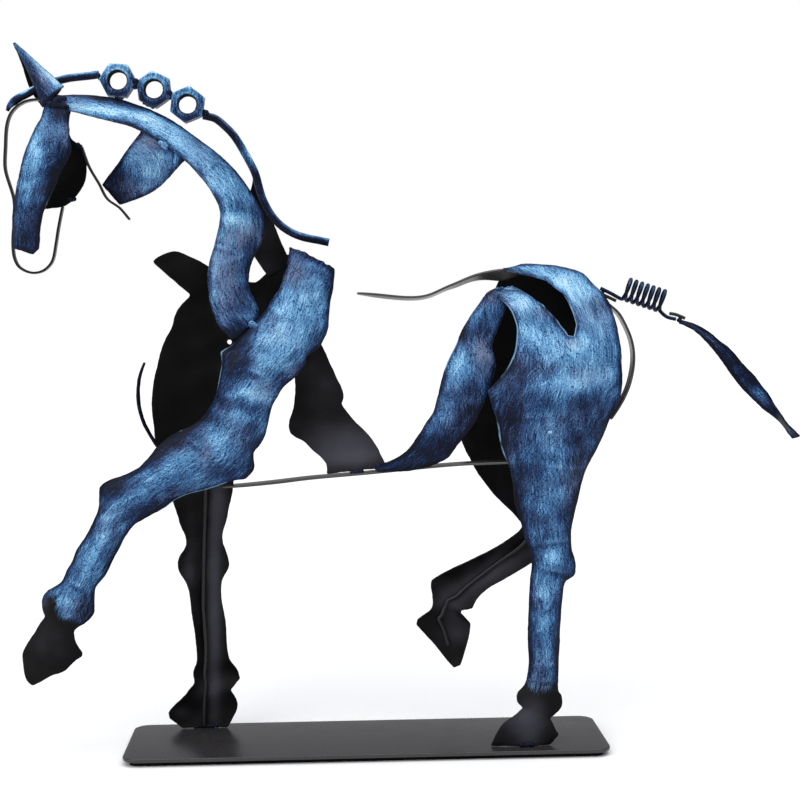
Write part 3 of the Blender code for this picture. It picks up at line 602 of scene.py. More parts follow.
@dataclass(frozen=True)
class BlackEnamel:
    """Satin black enamel on steel strap and wire: almost black, with a soft narrow sheen.

    Attributes:
        colour: The enamel.
        dusty: The same where it is thin or dusty.
        rough: Its roughness, least and most.
        gloss: How much light it reflects straight on.
        grain: Size of the faint orange peel.
        cloud: Size of the thin and dusty places.
        name: The material's name.
    """

    colour: str = "0C0C0E"
    dusty: str = "1D1C1F"
    rough: tuple[float, float] = (0.26, 0.4)
    gloss: float = 0.3
    grain: float = 1.6
    cloud: float = 14.0
    name: str = "satin_black_enamel"

    def build(self) -> bpy.types.Material:
        """Make the material.

        Returns:
            The material.
        """
        made, tree = blank_material(self.name)
        place = add_node(tree, "ShaderNodeTexCoord").outputs["Object"]
        peel = add_node(tree, "ShaderNodeTexNoise", {
            "Vector": place, "Scale": 1 / (self.grain * MM), "Detail": 3.0})
        cloud = add_node(tree, "ShaderNodeTexNoise", {
            "Vector": place, "Scale": 1 / (self.cloud * MM), "Detail": 4.0})
        colour = add_node(tree, "ShaderNodeMix", {
            0: cloud.outputs["Fac"], 6: linear(self.colour), 7: linear(self.dusty)},
            data_type="RGBA")
        rough = add_node(tree, "ShaderNodeMapRange", {
            0: cloud.outputs["Fac"], 1: 0.3, 2: 0.7, 3: self.rough[0], 4: self.rough[1]})
        bump = add_node(tree, "ShaderNodeBump", {
            "Strength": 0.2, "Distance": 0.05 * MM, "Height": peel.outputs["Fac"]})
        shader = add_node(tree, "ShaderNodeBsdfPrincipled", {
            "Base Color": colour.outputs[2], "Roughness": rough.outputs[0], "Metallic": 0.0,
            "Specular IOR Level": self.gloss, "Normal": bump.outputs[0]})
        add_node(tree, "ShaderNodeOutputMaterial", {0: shader.outputs[0]})
        return made


@dataclass
class Finishes:
    """The materials, made once.

    Attributes:
        blue: Dry-brushed blue over black.
        enamel: Black enamel on thin strips and wires.
        strap: The same on the wider straps, rubbed, with lighter grey-beige patches that are partly
            painted sheen.
        plate: The plate's powder coat.
        pad: The pad's foam rubber.
    """

    blue: bpy.types.Material = field(init=False)
    enamel: bpy.types.Material = field(init=False)
    strap: bpy.types.Material = field(init=False)
    plate: bpy.types.Material = field(init=False)
    pad: bpy.types.Material = field(init=False)

    def __post_init__(self) -> None:
        """Make every material."""
        self.blue = DryBrushedBlue().build()
        self.enamel = BlackEnamel().build()
        # Wider straps: the same enamel, thinner and rubbed, so it shines grey at a flat angle; its
        # lighter grey-beige patches are partly thin enamel and partly painted sheen
        self.strap = BlackEnamel(colour="161516", dusty="383533", rough=(0.24, 0.34), gloss=0.7,
                                 name="rubbed_black_enamel_with_painted_sheen").build()
        # Powder coat: an even charcoal with a fine tight orange peel, glossier than the enamel
        self.plate = BlackEnamel(colour="262425", dusty="2F2D2E", rough=(0.24, 0.32), gloss=0.5,
                                 grain=0.9, name="charcoal_powder_coat").build()
        # Foam rubber: a dull flat black
        self.pad = BlackEnamel(colour="0A0A0B", dusty="111112", rough=(0.8, 0.9), gloss=0.1,
                               grain=0.6, name="black_foam_rubber").build()


def nearest_on_line(points: np.ndarray, line: np.ndarray) -> tuple[np.ndarray, np.ndarray]:
    """How far along a middle line, and how far beside it, places lie in side view.

    Args:
        points: Places, one a row.
        line: The middle line's points, one a row.

    Returns:
        The run along the line and the signed distance from it, for each place.
    """
    flat = points[:, [0, 2]]
    ends = line[:, [0, 2]]
    start, stop = ends[:-1], ends[1:]
    way = stop - start
    # Two points of the line in one place mustn't make a division by zero
    size = np.maximum(np.linalg.norm(way, axis=1), 1e-6)
    run = np.concatenate([[0.0], np.cumsum(size)[:-1]])
    off = flat[:, None, :] - start[None]
    share = (off * way).sum(2) / size ** 2
    # The first and the last stretch go on straight past the line's ends
    low = np.where(np.arange(len(size)) == 0, -9.0, 0.0)
    high = np.where(np.arange(len(size)) == len(size) - 1, 9.0, 1.0)
    share = np.clip(share, low, high)
    miss = off - share[:, :, None] * way
    gap = np.linalg.norm(miss, axis=2)
    best = gap.argmin(1)
    pick = np.arange(len(flat))
    sign = np.sign(way[best, 0] * off[pick, best, 1] - way[best, 1] * off[pick, best, 0])
    return run[best] + share[pick, best] * size[best], sign * gap[pick, best]


def merged_copy(node: bpy.types.Object) -> bmesh.types.BMesh:
    """Copy a CAD node's solid with its triangles joined.

    Args:
        node: The node's object.

    Returns:
        One closed mesh, mostly of four-sided faces.
    """
    work = bmesh.new()
    work.from_mesh(node.data)
    bmesh.ops.remove_doubles(work, verts=work.verts, dist=MERGE)
    bmesh.ops.join_triangles(work, faces=work.faces, angle_face_threshold=JOIN_BEND,
                             angle_shape_threshold=JOIN_SKEW, topology_influence=1.0)
    work.verts.ensure_lookup_table()
    work.verts.index_update()
    return work


def middle_line(work: bmesh.types.BMesh, end: End, step: float) -> np.ndarray:
    """The middle line of a long piece, from the ways along its own edges.

    Args:
        work: The piece.
        end: Where the line starts.
        step: The distance between its points.

    Returns:
        The line's points, one a row.
    """
    toward = Vector(end.value)
    first = max(work.verts, key=lambda vert: vert.co.dot(toward))
    reach = {first.index: 0.0}
    queue = [(0.0, first.index)]
    while queue:
        so_far, index = heapq.heappop(queue)
        if so_far > reach[index]:
            continue
        for edge in work.verts[index].link_edges:
            other = edge.other_vert(work.verts[index]).index
            total = so_far + edge.calc_length()
            if total < reach.get(other, math.inf):
                reach[other] = total
                heapq.heappush(queue, (total, other))
    runs = np.array([reach.get(vert.index, 0.0) for vert in work.verts])
    places = np.array([vert.co for vert in work.verts])
    count = max(3, round(runs.max() / (step * MM)))
    shelf = np.minimum((runs / runs.max() * count).astype(int), count - 1)
    line = np.array([places[shelf == k].mean(0) for k in range(count) if (shelf == k).any()])
    # Smooth the line a few times, with its ends kept
    for _ in range(4):
        inner = (line[:-2] + 2 * line[1:-1] + line[2:]) / 4
        line = np.concatenate([line[:1], inner, line[-1:]])
    return line


def write_attributes(mesh: bpy.types.Mesh, values: dict[str, np.ndarray]) -> None:
    """Store numbers on a mesh's points.

    Args:
        mesh: The mesh.
        values: One number a point under each name.
    """
    for name, numbers in values.items():
        kept = mesh.attributes.get(name) or mesh.attributes.new(name, "FLOAT", "POINT")
        kept.data.foreach_set("value", numbers.astype(np.float32))


def paint_all_round(mesh: bpy.types.Mesh, values: dict[str, np.ndarray]) -> None:
    """Store the paint of a piece that is painted all round and has no dark borders.

    Args:
        mesh: The piece's mesh.
        values: Its tones, one number a point under each name.
    """
    values["rim"] = np.full(len(mesh.vertices), FAR_FROM_EDGES)
    values["outer"] = np.ones(len(mesh.vertices))
    write_attributes(mesh, values)


def read_points(mesh: bpy.types.Mesh, name: str) -> np.ndarray:
    """Read a vector off each of a mesh's points.

    Args:
        mesh: The mesh.
        name: The vector's name in Blender.

    Returns:
        The vectors, one a row.
    """
    found = np.zeros(len(mesh.vertices) * 3, np.float32)
    mesh.vertices.foreach_get(name, found)
    return found.reshape(-1, 3).astype(float)


def places_of(mesh: bpy.types.Mesh) -> np.ndarray:
    """The mesh's points in metres, one a row."""
    return read_points(mesh, "co")


def normals_of(mesh: bpy.types.Mesh) -> np.ndarray:
    """The mesh's point normals, one a row."""
    return read_points(mesh, "normal")


def path_mesh(name: str, points: np.ndarray) -> bpy.types.Mesh:
    """Make a mesh of one line through points.

    Args:
        name: The mesh's name.
        points: The points in metres, one a row.

    Returns:
        The mesh.
    """
    made = bpy.data.meshes.new(name)
    made.from_pydata([tuple(place) for place in points],
                     [(k, k + 1) for k in range(len(points) - 1)], [])
    return made


@dataclass
class Workshop:
    """What every maker needs.

    Attributes:
        nodes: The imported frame's CAD nodes by name.
        photo: The photograph's view.
        finishes: The materials.
    """

    nodes: dict[str, bpy.types.Object]
    photo: PhotoView
    finishes: Finishes

    # How much a dent one millimetre deep changes the paint, darker in its hollow and lighter on the
    # ridge above, partly painted shade and highlight and partly the brush skipping the hollow, and
    # how far above a dent's middle that lighter ridge shows in the photograph, in pixels
    DENT_PAINTED_SHADING = 0.2
    DENT_PAINTED_HIGHLIGHT_OFF = (0.0, 3.5)
    # Length and height of the waves of lighter and darker paint, and of thin violet paint
    BROAD = (24, 0.05)
    NARROW = (9, 0.03)
    THIN = (30, 0.16)

    def show(self, name: str, mesh: bpy.types.Mesh, material: bpy.types.Material, slot: str,
             *nodes: str) -> bpy.types.Object:
        """Put a finished mesh in the scene as a piece on the one body.

        Args:
            name: The piece's name.
            mesh: Its mesh, in place.
            material: Its finish.
            slot: The record's material slot. Not used.
            nodes: The CAD nodes that it stands for.

        Returns:
            The piece.
        """
        made = bpy.data.objects.new(name, mesh)
        bpy.context.scene.collection.objects.link(made)
        mesh.materials.clear()
        mesh.materials.append(material)
        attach(made, BODY)
        if nodes:
            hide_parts(*nodes)
        log.info("%s: %d faces", name, len(mesh.polygons))
        return made

    def bake(self, source: bpy.types.Object, name: str) -> bpy.types.Mesh:
        """Apply an object's modifiers and remove the object.

        Args:
            source: The object.
            name: The new mesh's name.

        Returns:
            The finished mesh.
        """
        bpy.context.view_layer.update()
        view = bpy.context.evaluated_depsgraph_get()
        mesh = bpy.data.meshes.new_from_object(source.evaluated_get(view))
        mesh.name = name
        bpy.data.objects.remove(source)
        return mesh

    def shaped(self, tree: bpy.types.NodeTree, sizes: dict[str, object], name: str,
               base: bpy.types.Mesh | None = None) -> bpy.types.Mesh:
        """Run a Geometry Nodes tree once and keep its result as a plain mesh.

        Args:
            tree: The tree.
            sizes: Values for its named inputs.
            name: The mesh's name.
            base: The mesh that goes in, or None where the tree makes its own.

        Returns:
            The result.
        """
        source = bpy.data.objects.new(name, base or bpy.data.meshes.new(name + "_seed"))
        bpy.context.scene.collection.objects.link(source)
        nodes = source.modifiers.new("shape", "NODES")
        nodes.node_group = tree
        sockets = {item.name: item.identifier for item in tree.interface.items_tree
                   if item.item_type == "SOCKET" and item.in_out == "INPUT"}
        for label, value in sizes.items():
            nodes[sockets[label]] = value
        return self.bake(source, name)

    def surface(self, pixel: tuple[float, float], name: str) -> Vector:
        """The place on a CAD node that shows at a pixel, or the nearest one to it.

        Args:
            pixel: Its x and y in the photograph.
            name: The node.

        Returns:
            The place in metres.
        """
        work = bmesh.new()
        work.from_mesh(self.nodes[name].data)
        tree = BVHTree.FromBMesh(work)
        work.free()
        low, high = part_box(name)
        eye = Vector(self.photo.place) * MM
        aim = self.photo.point(pixel, (low.y + high.y) / 2 / MM)
        return tree.ray_cast(eye, (aim - eye).normalized())[0] or tree.find_nearest(aim)[0]

    def tones(self, mesh: bpy.types.Mesh, line: np.ndarray, patches: tuple[Patch, ...],
              base: float, seed: int, brush: float = 0.0) -> dict[str, np.ndarray]:
        """The paint on a mesh: broad waves and the patches of the photograph, with painted sheen, and
        painted shade and highlight at dents.

        Args:
            mesh: The mesh.
            line: Its middle line, which the brush follows.
            patches: What the photograph shows on it.
            base: The paint's usual tone.
            seed: The waves' seed.
            brush: The strokes' turn from the middle line, in degrees.

        Returns:
            Values for paint, violet, soot, worn_and_highlit and gleam, the painted sheen, at each
            point.
        """
        places = places_of(mesh)
        run, beside = nearest_on_line(places, line)
        slant = math.radians(brush)
        along = run * math.cos(slant) + beside * math.sin(slant)
        over = beside * math.cos(slant) - run * math.sin(slant)
        corners = np.zeros(len(mesh.loops), np.int32)
        mesh.loops.foreach_get("vertex_index", corners)
        layer = mesh.uv_layers.get(STROKES) or mesh.uv_layers.new(name=STROKES)
        layer.uv.foreach_set("vector", np.stack([over, along], 1)[corners].ravel()
                             .astype(np.float32))
        clouds = Waves(seed, *self.BROAD).at(places) + Waves(seed + 1, *self.NARROW).at(places)
        found = {"paint": base + clouds,
                 "violet": np.clip(Waves(seed + 2, *self.THIN).at(places), 0, 1),
                 **{name: np.zeros(len(places)) for name in ("soot", "worn_and_highlit", "gleam")}}
        pixels = self.photo.pixels(places)
        for patch in patches:
            if patch.tone is Tone.DENT:
                # Darker in the hollow and lighter on the ridge above it: painted shade and highlight
                # as from light above, partly the brush skipping a hollow and catching the ridge
                found["paint"] = found["paint"] + self.DENT_PAINTED_SHADING * (
                    patch.at(pixels + self.DENT_PAINTED_HIGHLIGHT_OFF) - patch.at(pixels))
                continue
            name, sign = patch.tone.value
            found[name] = found[name] + sign * patch.at(pixels)
        return found


@dataclass(frozen=True)
class CutSheet:
    """A cut and bent sheet, strap or strip, remade finer from its CAD node.

    Attributes:
        node: The CAD node.
        face: Which way its painted face looks, or None for one that is black all over.
        end: Where its middle line starts.
        patches: The brush's tones on it, with painted sheen and dents.
        base: The usual tone of its paint.
        levels: How often its faces are divided.
        wave: Height of the hammer waves.
        roll: How far its edges roll in toward the unpainted side.
        ragged: How far its cut edge strays.
        sway: How far its outline strays in longer waves.
        brush: The strokes' turn from its middle line, in degrees.
        border: How wide its dark border is, as a share of the usual width.
        torn: The height above which its cut edge is roughly torn.
        rubbed: Whether a black strap is rubbed, so it shines more and has lighter grey-beige patches
            that are partly painted sheen.
        pushes: Where its outline is pushed a little further out or in.
    """

    node: str
    face: Face | None
    end: End
    patches: tuple[Patch, ...] = ()
    base: float = 0.5
    levels: int = 3
    wave: float = 0.4
    roll: float = 0.3
    ragged: float = 0.04
    sway: float = 0.08
    brush: float = 0.0
    border: float = 1.0
    torn: float = 999.0
    rubbed: bool = False
    pushes: tuple[Push, ...] = ()

    # A crease of 0.47 keeps a cut edge sharp for two divisions and rounds it in the last
    CREASE = 0.47
    BEND_CREASE = 0.2
    CORNER_ANGLE = math.radians(38)
    # A face narrower than this is a cut edge's own face
    THICK = 1.4
    # The distance between the middle line's points
    STEP = 9.0
    # Length of the hammer waves, of a cut edge's strays and of the outline's longer waves
    WAVE_LENGTH = 19
    RAGGED_LENGTH = 3.2
    SWAY_LENGTH = 11
    # How many waves a cut edge's strays add
    RAGGED_COUNT = 20
    # How far from a cut edge the roll, the strays and the longer waves reach
    ROLL_REACH = 1.6
    RAGGED_REACH = 0.5
    SWAY_REACH = 6.0
    # A torn edge strays this many times as far as a cut one
    TORN = 4.0
    # How far a face has to look toward the painted side to be painted, and to be fully painted
    PAINTED = (0.05, 0.35)
    # Outline corners up to the first turn keep their points, and from the second are rounded
    KEPT_TURN = math.radians(25)
    ROUND_TURN = math.radians(60)

    def is_cut(self, edge: bmesh.types.BMEdge) -> bool:
        """Tell a cut edge of the sheet from a bend.

        Args:
            edge: A sharp edge.

        Returns:
            Whether it lies on the cut outline.
        """
        widths = [face.calc_area() / max(side.calc_length() for side in face.edges)
                  for face in edge.link_faces]
        return min(widths) < self.THICK * MM

    def fine_mesh(self, shop: Workshop) -> tuple[bpy.types.Mesh, np.ndarray]:
        """Divide a merged copy of the node, with its cut edges kept.

        Args:
            shop: The workshop.

        Returns:
            The fine mesh and the sheet's middle line.
        """
        work = merged_copy(shop.nodes[self.node])
        line = middle_line(work, self.end, self.STEP)
        crease = work.edges.layers.float.new("crease_edge")
        rim = work.verts.layers.float.new("rim_flag")
        pull: dict[bmesh.types.BMVert, Vector] = {}
        for edge in work.edges:
            if edge.calc_face_angle(0) < self.CORNER_ANGLE:
                continue
            if not self.is_cut(edge):
                edge[crease] = self.BEND_CREASE
                continue
            edge[crease] = self.CREASE
            for vert in edge.verts:
                vert[rim] = 1.0
        for vert in work.verts:
            ways = [edge.other_vert(vert).co - vert.co for edge in vert.link_edges
                    if edge[crease] > self.BEND_CREASE]
            if len(ways) == 2:
                # The division draws such a point in by a sixth, so it is first put out by that
                turn = math.pi - ways[0].angle(ways[1])
                share = (self.ROUND_TURN - turn) / (self.ROUND_TURN - self.KEPT_TURN)
                pull[vert] = -(ways[0] + ways[1]) / 6 * min(1.0, max(0.0, share))
        for vert, way in pull.items():
            vert.co += way
        for face in work.faces:
            face.smooth = True
        mesh = bpy.data.meshes.new(self.node + "_fine")
        work.to_mesh(mesh)
        work.free()
        source = bpy.data.objects.new(self.node + "_fine", mesh)
        bpy.context.scene.collection.objects.link(source)
        divide = source.modifiers.new("divide", "SUBSURF")
        divide.levels = self.levels
        divide.render_levels = self.levels
        return shop.bake(source, self.node + "_fine"), line

    def edge_distances(self, mesh: bpy.types.Mesh, places: np.ndarray) -> np.ndarray:
        """How far the points of the fine mesh lie from its cut edges.

        Args:
            mesh: The fine mesh, which says which points lie on a cut edge.
            places: Its points.

        Returns:
            Each point's distance in metres.
        """
        flags = np.zeros(len(places), np.float32)
        mesh.attributes["rim_flag"].data.foreach_get("value", flags)
        edge_places = places[flags > 0.999]
        tree = KDTree(len(edge_places))
        for index, place in enumerate(edge_places):
            tree.insert(place, index)
        tree.balance()
        return np.array([tree.find(place)[2] for place in places])

    def build(self, shop: Workshop) -> bpy.types.Object:
        """Make the sheet and paint it.

        Args:
            shop: The workshop.

        Returns:
            The piece.
        """
        mesh, line = self.fine_mesh(shop)
        places = places_of(mesh)
        normals = normals_of(mesh)
        rim = self.edge_distances(mesh, places)
        seed = seed_of(self.node)
        side = self.face.value if self.face else 0
        depth = Waves(seed, self.WAVE_LENGTH, self.wave * MM).at(places)
        depth -= side * self.roll * MM * np.exp(-rim / (self.ROLL_REACH * MM))
        pixels = shop.photo.pixels(places)
        for patch in self.patches:
            if patch.tone is Tone.DENT:
                depth -= side * MM * patch.at(pixels)
        rough = self.ragged * np.where(places[:, 2] > self.torn * MM, self.TORN, 1.0)
        stray = Waves(seed + 5, self.RAGGED_LENGTH, MM, self.RAGGED_COUNT).at(places)
        stray = stray * rough * np.exp(-rim / (self.RAGGED_REACH * MM))
        flat = normals * np.array([1.0, 0.0, 1.0])
        moved = places + flat * stray[:, None]
        moved[:, 1] += depth
        for push in self.pushes:
            moved += push.at(pixels)
        near_rim = self.sway * MM * np.exp(-rim / (self.SWAY_REACH * MM))
        for axis in (0, 2):
            sway = Waves(seed + 7 + axis, self.SWAY_LENGTH, 1.0)
            moved[:, axis] += near_rim * sway.at(places)
        mesh.vertices.foreach_set("co", moved.astype(np.float32).ravel())
        mesh.update()
        if self.face is None:
            finish = shop.finishes.strap if self.rubbed else shop.finishes.enamel
            return shop.show(self.node + "_strip", mesh, finish, "black_steel", self.node)
        values = shop.tones(mesh, line, self.patches, self.base, seed, self.brush)
        facing = np.abs(normals[:, 1]) if self.face is Face.BOTH else normals[:, 1] * side
        values["rim"] = rim / self.border
        values["outer"] = np.interp(facing, self.PAINTED, (0, 1))
        write_attributes(mesh, values)
        return shop.show(self.node + "_sheet", mesh, shop.finishes.blue, "blue_steel", self.node)


def ring_centres(work: bmesh.types.BMesh, end: End) -> tuple[np.ndarray, np.ndarray]:
    """The middle and radius of each ring of a CAD rod, counted from one end.

    Args:
        work: The rod, merged.
        end: Where the count starts.

    Returns:
        The rings' middles, one a row, and their radii.
    """
    toward = Vector(end.value)
    caps = [edge for edge in work.edges
            if len(edge.link_faces) == 2 and edge.calc_face_angle(0) > CAP_TURN]
    on_caps = {vert for edge in caps for vert in edge.verts}
    first = max(on_caps, key=lambda vert: vert.co.dot(toward))
    ring = {first}
    grown = True
    while grown:
        grown = {edge.other_vert(vert) for vert in ring for edge in vert.link_edges
                 if edge in caps} - ring
        ring |= grown
    middles, radii, seen = [], [], set()
    while ring:
        centre = sum((vert.co for vert in ring), Vector()) / len(ring)
        middles.append(centre)
        radii.append(sum((vert.co - centre).length for vert in ring) / len(ring))
        seen |= ring
        ring = {edge.other_vert(vert) for vert in ring for edge in vert.link_edges} - seen
    return np.array(middles), np.array(radii)


@dataclass(frozen=True)
class RoundRod:
    """A rod or wire, remade round from the rings of its CAD node by Geometry Nodes.

    Attributes:
        node: The CAD node.
        end: The end that its rings are counted from.
        blue: Whether it is dry-brushed blue from above, or black all over.
        patches: The brush's tones on it.
        sides: Sides of its section.
        pitted: Height of the scale and spatter on it.
        swell: How much thicker the enamel makes it.
        top: How much lighter its upper side is, partly the brush's paint and partly painted light
            from above.
    """

    node: str
    end: End
    blue: bool
    patches: tuple[Patch, ...] = ()
    sides: int = 24
    pitted: float = 0.06
    swell: float = 1.0
    top: float = 0.65

    # The distance between its rings, as a share of its radius
    RINGS = 0.3
    # How many grains of scale fit in a metre
    GRAIN = 900.0
    # How quickly its upper side turns fully light
    TURNING = 1.3

    @staticmethod
    def tree() -> bpy.types.NodeTree:
        """Make the tree that sweeps a round section along a line of points with radii.

        Returns:
            The tree.
        """
        made, given = blank_shape("round_rod", ("Spacing", "Pitting", "Grain"), ("Sides",))
        curve = add_node(made, "GeometryNodeMeshToCurve", {0: given["Geometry"]})
        smooth = add_node(made, "GeometryNodeCurveSplineType", {0: curve.outputs[0]},
                          spline_type="CATMULL_ROM")
        finer = add_node(made, "GeometryNodeSetSplineResolution", {
            "Geometry": smooth.outputs[0], "Resolution": 8})
        radius = add_node(made, "GeometryNodeInputNamedAttribute", {"Name": "thickness"})
        evenly = add_node(made, "GeometryNodeResampleCurve", {
            "Curve": finer.outputs[0], "Length": given["Spacing"]}, mode="LENGTH")
        section = add_node(made, "GeometryNodeCurvePrimitiveCircle", {
            "Resolution": given["Sides"], "Radius": 1.0})
        swept = add_node(made, "GeometryNodeCurveToMesh", {
            "Curve": evenly.outputs[0], "Profile Curve": section.outputs[0],
            "Scale": radius.outputs[0], "Fill Caps": True})
        noise = add_node(made, "ShaderNodeTexNoise", {"Scale": given["Grain"], "Detail": 3.0})
        high = add_node(made, "ShaderNodeMath", {0: noise.outputs[0], 1: 0.5},
                        operation="SUBTRACT")
        high = add_node(made, "ShaderNodeMath", {0: high.outputs[0], 1: given["Pitting"]},
                        operation="MULTIPLY")
        normal = add_node(made, "GeometryNodeInputNormal")
        shift = add_node(made, "ShaderNodeVectorMath", {0: normal.outputs[0],
                                                        "Scale": high.outputs[0]}, operation="SCALE")
        rough = add_node(made, "GeometryNodeSetPosition", {"Geometry": swept.outputs[0],
                                                           "Offset": shift.outputs[0]})
        finish_shape(made, rough.outputs[0], given["Finish"])
        return made

    def build(self, shop: Workshop, tree: bpy.types.NodeTree) -> bpy.types.Object:
        """Make the rod.

        Args:
            shop: The workshop.
            tree: The rods' tree.

        Returns:
            The piece.
        """
        work = merged_copy(shop.nodes[self.node])
        middles, radii = ring_centres(work, self.end)
        work.free()
        base = path_mesh(self.node + "_path", middles)
        write_attributes(base, {"thickness": radii * self.swell})
        finish = shop.finishes.blue if self.blue else shop.finishes.enamel
        mesh = shop.shaped(tree, {
            "Sides": self.sides, "Spacing": float(radii.mean() * self.RINGS),
            "Pitting": 2 * self.pitted * MM, "Grain": self.GRAIN, "Finish": finish},
            self.node, base)
        mesh.polygons.foreach_set("use_smooth", [len(p.vertices) < 5 for p in mesh.polygons])
        if not self.blue:
            return shop.show(self.node + "_wire", mesh, finish, "black_steel", self.node)
        values = shop.tones(mesh, middles, self.patches, 0.0, seed_of(self.node))
        # The upper side lighter: partly the brush's paint, partly painted light from above
        values["paint"] += self.top * np.clip(normals_of(mesh)[:, 2] * self.TURNING, 0, 1)
        paint_all_round(mesh, values)
        return shop.show(self.node + "_round", mesh, finish, "blue_steel", self.node)


@dataclass(frozen=True)
class HexNut:
    """A hex nut of the mane, made by Geometry Nodes with its chamfers, bore and thread.

    Attributes:
        node: The CAD node, which says where it lies and how it is turned.
        pitch: The thread's pitch.
        thread: How far the thread's crests stand in from the bore.
        chamfer: How far the corners' chamfer starts inside the flats.
    """

    node: str
    pitch: float = 1.5
    thread: float = 0.32
    chamfer: float = 0.5

    # Half the angle that one flat takes up round the axis
    HALF_FLAT = math.radians(30)
    # The bore's countersink and the coil of thread, as shares of the bore and the thickness
    MOUTH = 0.58
    COIL = 0.8
    # How much wider the bore is drilled than the CAD's, so that the thread's crests fit in it
    BORE_GAP = 0.4
    # The rounding of its edges, and the turn from which an edge is rounded
    SOFT = 0.3
    SOFT_TURN = math.radians(25)
    # Faces above this area are divided toward edges of this length in this many rounds
    FLAT_AREA = 1.5
    LONG_EDGE = 0.9
    ROUNDS = 4
    # The paint: its usual tone; how much lighter the upper side is, painted light from above; and how
    # much lighter the bore's rim and the corners are, the brush's paint on the edges with a painted
    # highlight
    BASE = 0.4
    UPPER_PAINTED_LIGHT = 0.6
    BORE_LIGHT = 0.22
    CORNER_LIGHT = 0.25

    @staticmethod
    def tree() -> bpy.types.NodeTree:
        """Make the tree of a nut that lies round the origin with its axis along Y.

        Returns:
            The tree.
        """
        made, given = blank_shape(
            "hex_nut", ("Flats", "Thickness", "Bore", "Chamfer", "Pitch", "Thread"),
            takes_mesh=False)

        def sums(operation: str, first: object, second: object) -> bpy.types.NodeSocket:
            """A sum of a Math node."""
            return add_node(made, "ShaderNodeMath", {0: first, 1: second},
                            operation=operation).outputs[0]

        half = sums("MULTIPLY", given["Flats"], 0.5)
        corner = sums("DIVIDE", half, math.cos(HexNut.HALF_FLAT))
        blank = add_node(made, "GeometryNodeMeshCylinder", {
            "Vertices": 6, "Radius": corner, "Depth": given["Thickness"]})
        # The chamfer is a cone on each side, at 30 degrees to the flat face
        top = sums("SUBTRACT", half, given["Chamfer"])
        spread = sums("ADD", top, sums("MULTIPLY", given["Thickness"], math.sqrt(3)))
        cones = []
        for turn in (0.0, math.pi):
            cone = add_node(made, "GeometryNodeMeshCone", {
                "Vertices": 96, "Radius Top": top, "Radius Bottom": spread,
                "Depth": given["Thickness"]})
            low = add_node(made, "ShaderNodeCombineXYZ", {
                2: sums("MULTIPLY", given["Thickness"], -0.5)})
            set_low = add_node(made, "GeometryNodeTransform", {
                "Geometry": cone.outputs[0], "Translation": low.outputs[0]})
            turned = add_node(made, "GeometryNodeTransform", {
                "Geometry": set_low.outputs[0], "Rotation": (turn, 0.0, 0.0)})
            cones.append(turned.outputs[0])
        body = add_node(made, "GeometryNodeMeshBoolean", operation="INTERSECT", solver="EXACT")
        for part in (blank.outputs[0], *cones):
            made.links.new(part, body.inputs["Mesh 2"])
        long = sums("MULTIPLY", given["Thickness"], 2.0)
        drill = add_node(made, "GeometryNodeMeshCylinder", {
            "Vertices": 64, "Radius": sums("MULTIPLY", given["Bore"], 0.5), "Depth": long})
        mouth = sums("MULTIPLY", given["Bore"], HexNut.MOUTH)
        sinks = []
        for side in (0.5, -0.5):
            sink = add_node(made, "GeometryNodeMeshCone", {
                "Vertices": 64, "Radius Top": mouth if side > 0 else 0.0,
                "Radius Bottom": 0.0 if side > 0 else mouth, "Depth": mouth})
            lift = add_node(made, "ShaderNodeCombineXYZ", {
                2: sums("MULTIPLY", sums("SUBTRACT", given["Thickness"], mouth), side)})
            sinks.append(add_node(made, "GeometryNodeTransform", {
                "Geometry": sink.outputs[0], "Translation": lift.outputs[0]}).outputs[0])
        bored = add_node(made, "GeometryNodeMeshBoolean", {"Mesh 1": body.outputs[0]},
                         operation="DIFFERENCE", solver="EXACT")
        for part in (drill.outputs[0], *sinks):
            made.links.new(part, bored.inputs["Mesh 2"])
        inner = sums("MULTIPLY", given["Bore"], 0.5)
        coil_high = sums("MULTIPLY", given["Thickness"], HexNut.COIL)
        coil = add_node(made, "GeometryNodeCurveSpiral", {
            "Resolution": 40, "Rotations": sums("DIVIDE", coil_high, given["Pitch"]),
            "Start Radius": inner, "End Radius": inner, "Height": coil_high})
        crest = add_node(made, "GeometryNodeCurvePrimitiveCircle", {
            "Resolution": 6, "Radius": given["Thread"]})
        swept = add_node(made, "GeometryNodeCurveToMesh", {
            "Curve": coil.outputs[0], "Profile Curve": crest.outputs[0], "Fill Caps": True})
        down = add_node(made, "ShaderNodeCombineXYZ", {2: sums("MULTIPLY", coil_high, -0.5)})
        centred = add_node(made, "GeometryNodeTransform", {
            "Geometry": swept.outputs[0], "Translation": down.outputs[0]})
        both = add_node(made, "GeometryNodeJoinGeometry")
        for part in (centred.outputs[0], bored.outputs[0]):
            made.links.new(part, both.inputs[0])
        laid = add_node(made, "GeometryNodeTransform", {
            "Geometry": both.outputs[0], "Rotation": (math.pi / 2, 0.0, 0.0)})
        finish_shape(made, laid.outputs[0], given["Finish"])
        return made

    def measure(self, shop: Workshop) -> tuple[Vector, float, float, float, float]:
        """Read the nut's sizes off its CAD node.

        Args:
            shop: The workshop.

        Returns:
            Its centre, turn, width over flats, thickness and bore.
        """
        work = merged_copy(shop.nodes[self.node])
        places = np.array([vert.co for vert in work.verts])
        work.free()
        # The front face: its furthest point is a corner and its nearest lies on the bore
        front = places[places[:, 1] < places[:, 1].min() + 0.05 * MM]
        centre = (front.min(0) + front.max(0)) / 2
        off = front[:, [0, 2]] - centre[[0, 2]]
        reach = np.linalg.norm(off, axis=1)
        far = off[reach.argmax()]
        turn = math.atan2(far[1], far[0])
        thickness = -2 * places[:, 1].min()
